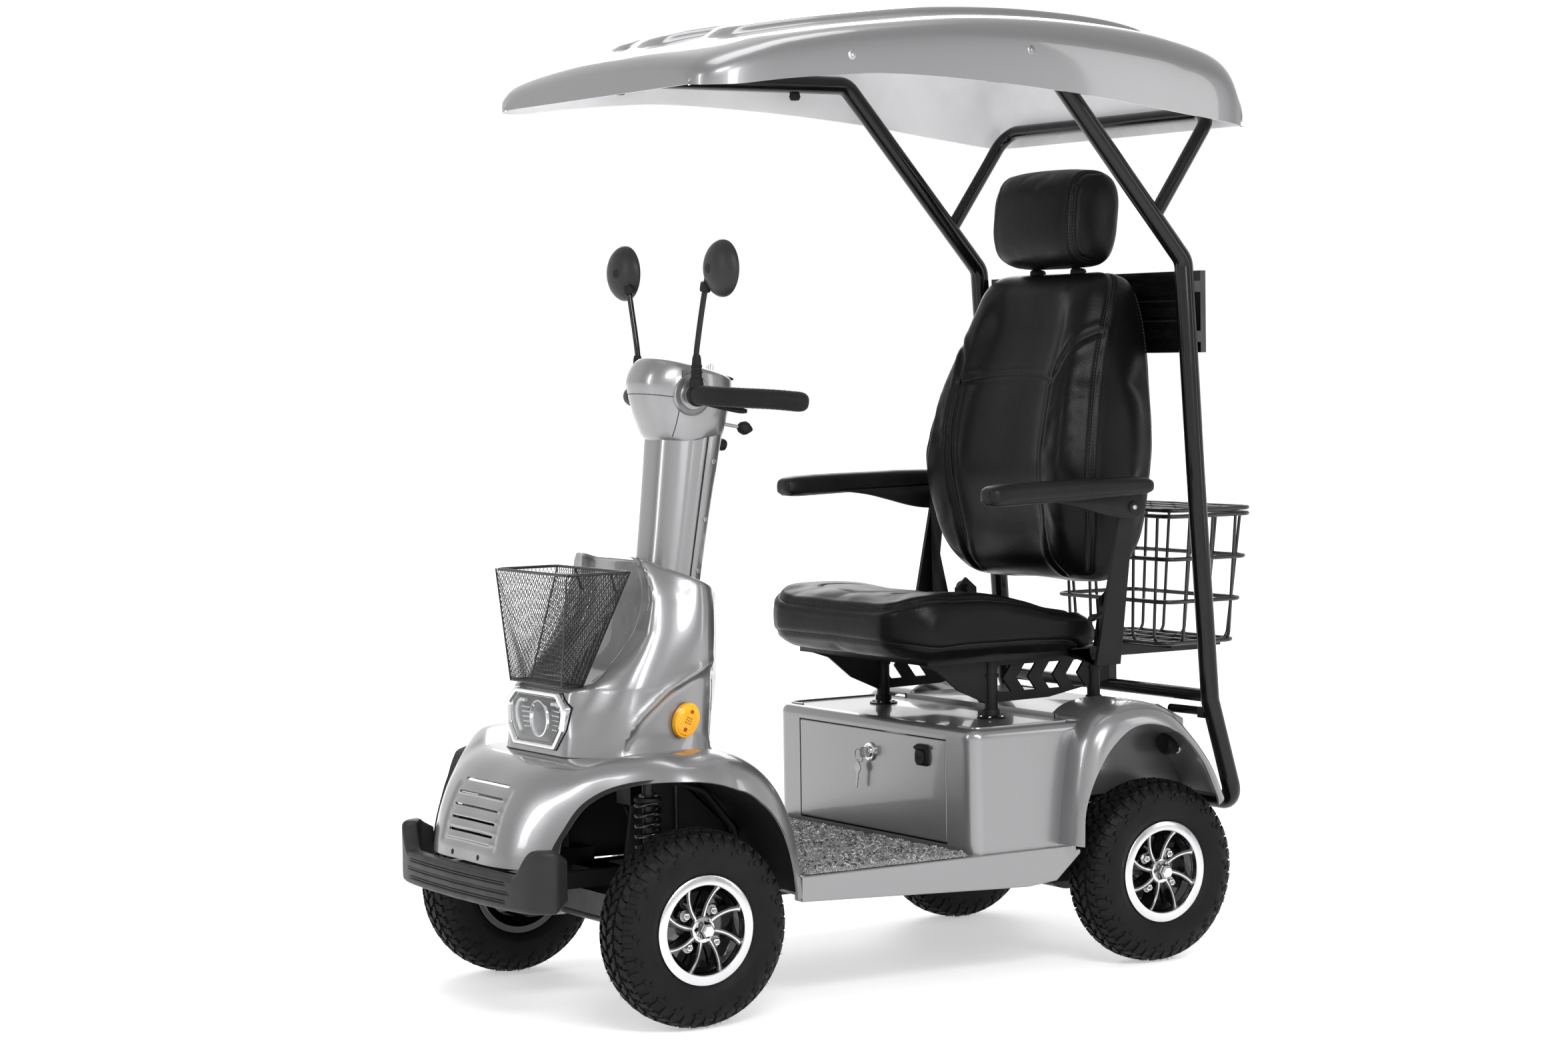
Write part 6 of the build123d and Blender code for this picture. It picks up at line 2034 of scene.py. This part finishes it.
# ============================================================ side markers
b = Batch()
for s in (1, -1):
    ca, sa = math.cos(math.radians(26)), math.sin(math.radians(26))

    def el(y, k, a=23.0, c=30.5, n=44):
        out = []
        for t in np.linspace(0, 2 * math.pi, n, endpoint=False):
            dx, dz = a * k * math.cos(t), c * k * math.sin(t)
            out.append((412 + dx * ca - dz * sa, y * s, 490 + dx * sa + dz * ca))
        return out
    rings = [el(176, 1.0), el(184.5, 1.0), el(186, 0.985), el(186.6, 0.95), el(186.2, 0.90)]
    b.add(([p for r in rings for p in r], grid_faces(5, 44, close_c=True)), 0)
    rings = [el(186.2, 0.90), el(188.6, 0.84), el(189.8, 0.66), el(190.4, 0.4), el(190.6, 0.05)]
    b.add(([p for r in rings for p in r], grid_faces(5, 44, close_c=True)), 0)
    # raised squares of the lens
    for i in range(-4, 5):
        for j in range(-5, 6):
            u, w = i * 4.3, j * 4.5
            if (u / 19) ** 2 + (w / 25) ** 2 > 0.92 or (abs(u) < 3 and abs(abs(w) - 16) < 5):
                continue
            x, z = 412 + u * ca - w * sa, 490 + u * sa + w * ca
            y0 = 189.0 if (u / 19) ** 2 + (w / 25) ** 2 > 0.6 else 190.0
            v = []
            for yy, h in ((y0 - 0.5, 1.9), (y0 + 0.9, 1.2)):
                for a_, c_ in ((-h, -h), (h, -h), (h, h), (-h, h)):
                    v.append((x + a_ * ca - c_ * sa, yy * s, z + a_ * sa + c_ * ca))
            b.add((v, [(0, 1, 2, 3), (7, 6, 5, 4), (0, 4, 5, 1), (1, 5, 6, 2), (2, 6, 7, 3), (3, 7, 4, 0)]),
                  2 if math.hypot(u, w) < 8.5 else 0)
    for w in (-16, 16):
        x, z = 412 - w * sa, 490 + w * ca
        b.lathe([(0, 0), (0, 3.6), (1.6, 3.4), (2.2, 2.2), (1.4, 1.2), (1.4, 0)], (x, 189.6 * s, z), (0, s, 0), 18, 1)
ob = b.make("marker_lamps", ["amber", "amber_deep", "amber_deep"], "chassis", replaces=["side_markers"], sharp=40, slot="amber")
fix_normals(ob)

# ============================================================ front basket
def front_basket():
    top = [(484, 128, 742), (606, 128, 742), (606, -128, 742), (484, -128, 742)]
    low = [(560, 92, 550), (600, 92, 550), (600, -92, 550), (560, -92, 550)]
    b = Batch()
    rim = bend_path([(x - 1.5 if x > 550 else x + 1.5, y * 0.99, z - 1) for x, y, z in top], 14, closed=True)
    b.tube(rim, 2.6, 12, 0, closed=True)
    rim2 = bend_path([(x - 1 if x > 590 else x + 1, y * 0.99, z + 1.5) for x, y, z in low], 8, closed=True)
    b.tube(rim2, 2.2, 12, 0, closed=True)
    for t, l in zip(top, low):
        a = np.array(t) * (1, 0.985, 1)
        c = np.array(l) * (1, 0.985, 1)
        b.tube([a, a + (c - a) * 0.5, c], 1.5, 10, 0)

    def wall(a, c, d, e, px, pz):
        # a..c along the top, d..e along the bottom
        a, c, d, e = (np.array(q, float) for q in (a, c, d, e))
        wt, hh = np.linalg.norm(c - a), np.linalg.norm((a + c) / 2 - (d + e) / 2)

        def at(s_, t_):
            return (a + (c - a) * s_) * (1 - t_) + (d + (e - d) * s_) * t_

        slope = hh / wt * px / pz
        k = int(wt / px)
        extra = int(hh / pz) + 1
        for sign in (1, -1):
            for i in range(-extra, k + extra + 1):
                s0 = i / k
                # line s = s0 + sign * t * (hh/pz)/k, kept within 0..1
                g = sign * (hh / pz) / k
                ts = [0.0, 1.0]
                for lim in (0.0, 1.0):
                    t = (lim - s0) / g
                    if 0 < t < 1:
                        ts.append(t)
                ts = sorted(ts)
                for t0, t1 in zip(ts[:-1], ts[1:]):
                    m = s0 + g * (t0 + t1) / 2
                    if 0 <= m <= 1:
                        off = 0.25 * sign
                        p, q = at(s0 + g * t0, t0), at(s0 + g * t1, t1)
                        nrm = np.cross(c - a, d - a)
                        nrm /= np.linalg.norm(nrm)
                        b.tube([p + nrm * off, q + nrm * off], 0.55, 4, 0)

    wall(top[1], top[2], low[1], low[2], 7.6, 9.4)
    wall(top[0], top[3], low[0], low[3], 7.6, 9.4)
    wall(top[0], top[1], low[0], low[1], 7.6, 9.4)
    wall(top[3], top[2], low[3], low[2], 7.6, 9.4)
    wall((560, 92, 550), (560, -92, 550), (600, 92, 550), (600, -92, 550), 7.6, 9.4)
    # hanger rods and their screws behind the basket
    for s in (1, -1):
        b.tube(bend_path([(486, 60 * s, 738), (482, 60 * s, 730), (476, 60 * s, 706), (468, 60 * s, 700)], 5), 2.2, 8, 0)
        b.lathe(dome(6, 2.4, 4), (470, 60 * s, 700), (1, 0, 0.2), 18, 1)
    b.make("basket_wire", ["wire", "steel"], "chassis", replaces=["front_basket"], sharp=50, slot="mesh_black")


front_basket()

# ============================================================= floor mat
def floor_mat():
    lo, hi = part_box("floor_mat")
    x0, x1, y1, z1 = lo[0] * 1000 - SHIFT, hi[0] * 1000 - SHIFT, hi[1] * 1000, hi[2] * 1000
    z0 = lo[2] * 1000
    nx, ny = int((x1 - x0) / 3.2), int(2 * y1 / 3.2)
    rg = np.random.default_rng(21)
    h = rg.normal(0, 1, (nx + 1, ny + 1))
    v, f = [], []
    for i in range(nx + 1):
        for j in range(ny + 1):
            x = x0 + (x1 - x0) * i / nx
            y = -y1 + 2 * y1 * j / ny
            e = min(x - x0, x1 - x, y1 - abs(y)) / 5
            jx, jy = rg.uniform(-0.9, 0.9, 2) if e > 0 else (0, 0)
            z = z1 - 1.2 + 1.1 * h[i, j] + 0.5 * math.sin(x * 0.05) * math.sin(y * 0.037)
            z = z0 + (z - z0) * min(1.0, 0.12 + max(0, e))
            v.append((x + jx, y + jy, z))
    f = grid_faces(nx + 1, ny + 1)
    f = [q for q in f]
    ob = make("mat_pile", v, f, "mat", "chassis", ["floor_mat"], slot="mat_grey")
    if ob.data.polygons[0].normal.z < 0:
        ob.data.flip_normals()
    shade(ob, True)
    b = Batch()
    for k in range(2300):
        x, y = rg.uniform(x0 + 4, x1 - 4), rg.uniform(-y1 + 4, y1 - 4)
        a, r = rg.uniform(0, math.pi), rg.uniform(1.7, 3.2)
        lean = rg.uniform(-0.7, 0.7)
        pts = []
        for t in np.linspace(-0.3, math.pi + 0.3, 6):
            d, u = r * math.cos(t), r * 0.9 * math.sin(t)
            pts.append((x + d * math.cos(a) - u * lean * math.sin(a), y + d * math.sin(a) + u * lean * math.cos(a),
                        z1 - 1.4 + u))
        b.tube(pts, 0.72, 4, int(rg.integers(0, 3)))
    b.make("mat_loops", ["yarn_light", "yarn_dark", "yarn_mid"], "chassis", slot="mat_grey")


floor_mat()

# =============================================================== springs
b = Batch()
for x, y, z0, z1, r in ((492, 186, 201, 372, 25), (-420, 205, 197, 330, 22)):
    for s in (1, -1):
        turns = (z1 - z0 - 26) / 17.5
        n = int(turns * 20)
        wire = [(x + (r - 4.6) * math.cos(2 * math.pi * turns * t), y * s + (r - 4.6) * math.sin(2 * math.pi * turns * t),
                 z0 + 13 + (z1 - z0 - 26) * t) for t in np.linspace(0, 1, n)]
        b.tube(wire, 4.3, 10, 0)
        b.lathe([(0, 0), (0, 11), (2, 12), (6, 12), (7, r - 2), (12, r - 1), (13, r - 3), (13, 10), (z1 - z0 - 60, 10),
                 (z1 - z0 - 60, 8.5), (z1 - z0 - 54, 8), (z1 - z0 - 54, 5.5), (z1 - z0 - 13, 5.5), (z1 - z0 - 13, r - 3),
                 (z1 - z0 - 11, r - 1), (z1 - z0 - 6, r - 2), (z1 - z0 - 5, 11), (z1 - z0, 10), (z1 - z0, 0)],
                (x, y * s, z0), (0, 0, 1), 28, 1)
        for zz in (z0 + 4, z1 - 4):
            b.tube([(x - 15, y * s, zz), (x + 15, y * s, zz)], 5.2, 16, 2)
b.make("coil_springs", ["spring", "axle", "steel"], "chassis", replaces=["springs"], sharp=42, slot="spring_black")

# ============================================================= tail lamps
b = Batch()
for s in (1, -1):
    c = (-552, 262 * s, 384)
    b.lathe([(0, 0), (0, 17), (3, 20), (8, 21.6), (22, 21.6), (24, 20.4)], c, (-1, 0, 0), 44, 0)
    b.lathe([(22, 21.6), (26, 21.8), (28, 21.6), (29.5, 20.2)], c, (-1, 0, 0), 44, 1)
    prof = [(28.4, 20.6)] + [(29 + 6.6 * math.cos(t), 20.2 * math.sin(t)) for t in np.linspace(math.pi / 2, 0, 12)]
    b.lathe(prof, c, (-1, 0, 0), 44, 2)
ob = b.make("rear_lamps", ["plastic_dark", "chrome", "red"], "chassis", replaces=["tail_lamps"], sharp=40,
            slot="red_lens")
fix_normals(ob)

# ===================================================== rounded frame parts
for node, w, seg, ang, slot in (("seat_frame", 1.1, 2, 40, "frame_black"), ("floor_pan", 3.0, 3, 40, "silver_body"),
                                ("chassis_frame", 1.6, 2, 50, "frame_black")):
    if node in nodes:
        ob = refine(node, w, seg=seg, angle=ang)
        if node == "seat_frame":
            # the pan's edge tucks under the cushion
            a = co_mm(ob.data)
            k = (a[:, 2] > 549) & (a[:, 2] < 566)
            a[k, 1] = np.clip(a[k, 1], -206, 206)
            a[k & (a[:, 0] > -70), 0] = -70
            put_mm(ob.data, a)

# seat hardware: bolts on the side plates, a recline lever, hinge covers
b = Batch()
for s in (1, -1):
    b.lathe([(0, 0), (0, 15), (3, 15), (6, 12), (7, 8), (7, 0)], (-462, 230 * s, 648), (0, s, 0), 28, 0)
    b.lathe(dome(6, 3, 4), (-462, 237 * s, 648), (0, s, 0), 6, 1)
    b.lathe([(0, 0), (0, 7.5), (2.4, 7.2), (3.2, 6.2), (3.2, 3.4), (2.0, 3.0), (2.0, 0)], (-448, 296 * s, 822), (0, s, 0),
            24, 0)
    for x in (-233, -465):
        b.lathe([(0, 12.2), (0, 15), (9, 15), (11, 13.4), (11, 12.2)], (x, 171 * s, 452 if x > -328 else 462), (0, 0, 1), 28, 0)
        b.lathe([(0, 12.2), (0, 14), (6, 14), (6, 12.2)], (x, 171 * s, 520), (0, 0, 1), 24, 0)
b.tube(cr([(-462, 240, 648), (-452, 246, 640), (-420, 250, 626), (-392, 252, 620)], 20), 4.0, 12, 0,
       radii=list(np.r_[np.full(12, 4.0), np.linspace(4.2, 6.5, 5), [6.5, 5.2, 2.0]]))
b.make("seat_hardware", ["plastic_dark", "steel"], "chassis", sharp=40)

# screws on the sills
b = Batch()
for s in (1, -1):
    for x in (250, 130, 10):
        b.lathe([(0, 0), (0, 5.5), (1.2, 5.2), (1.8, 3.8), (1.0, 2.2), (1.0, 0)], (x, 250 * s, 228), (0, 0, 1), 18, 0)
b.make("floor_screws", ["steel"], "chassis", sharp=40)

# rounded edges of the middle slat and screws on the cross panel behind the seat
b = Batch()
for z in (1154, 1190):
    b.tube([(-603.4, y, z) for y in np.linspace(-298, 298, 12)], 2.4, 10, 0)
for s in (1, -1):
    for z in (1116, 1228):
        b.lathe(dome(6.5, 2.6), (-604, 292 * s, z), (1, 0, 0), 20, 1)
b.make("cross_panel_trim", ["plastic_dark", "frame"], "chassis", sharp=45)

# -------------------------------------------------------------- the stage
fm, ft, fn, fl, fb = new_mat("floor_pale_painted_glow")
fc = coords(fn, fl)
fl.new(ramp(fn, fl, tex_noise(fn, fl, fc, 3, 3.0), [(0.3, (0.86, 0.86, 0.86)), (0.7, (0.89, 0.89, 0.89))]),
       fb.inputs["Base Color"])
fb.inputs["Roughness"].default_value = 0.6
# painted light: the floor sheet glows a little, more towards its rim, so it reads as a lit white backdrop
fg = fn.new("ShaderNodeVectorMath")
fg.operation = "LENGTH"
fl.new(fc, fg.inputs[0])
fmul = fn.new("ShaderNodeMath")
fmul.operation = "MULTIPLY"
fmul.inputs[1].default_value = 0.2
fl.new(fg.outputs["Value"], fmul.inputs[0])
fl.new(ramp(fn, fl, fmul.outputs[0], [(0.15, (0.44,) * 3), (1.0, (0.72,) * 3)]), fb.inputs["Emission Color"])
fb.inputs["Emission Strength"].default_value = 1.0
bm = bmesh.new()
bmesh.ops.create_circle(bm, cap_ends=True, segments=96, radius=40)
fme = bpy.data.meshes.new("floor")
bm.to_mesh(fme)
bm.free()
floor = bpy.data.objects.new("floor", fme)
scene.collection.objects.link(floor)
fme.materials.append(fm)
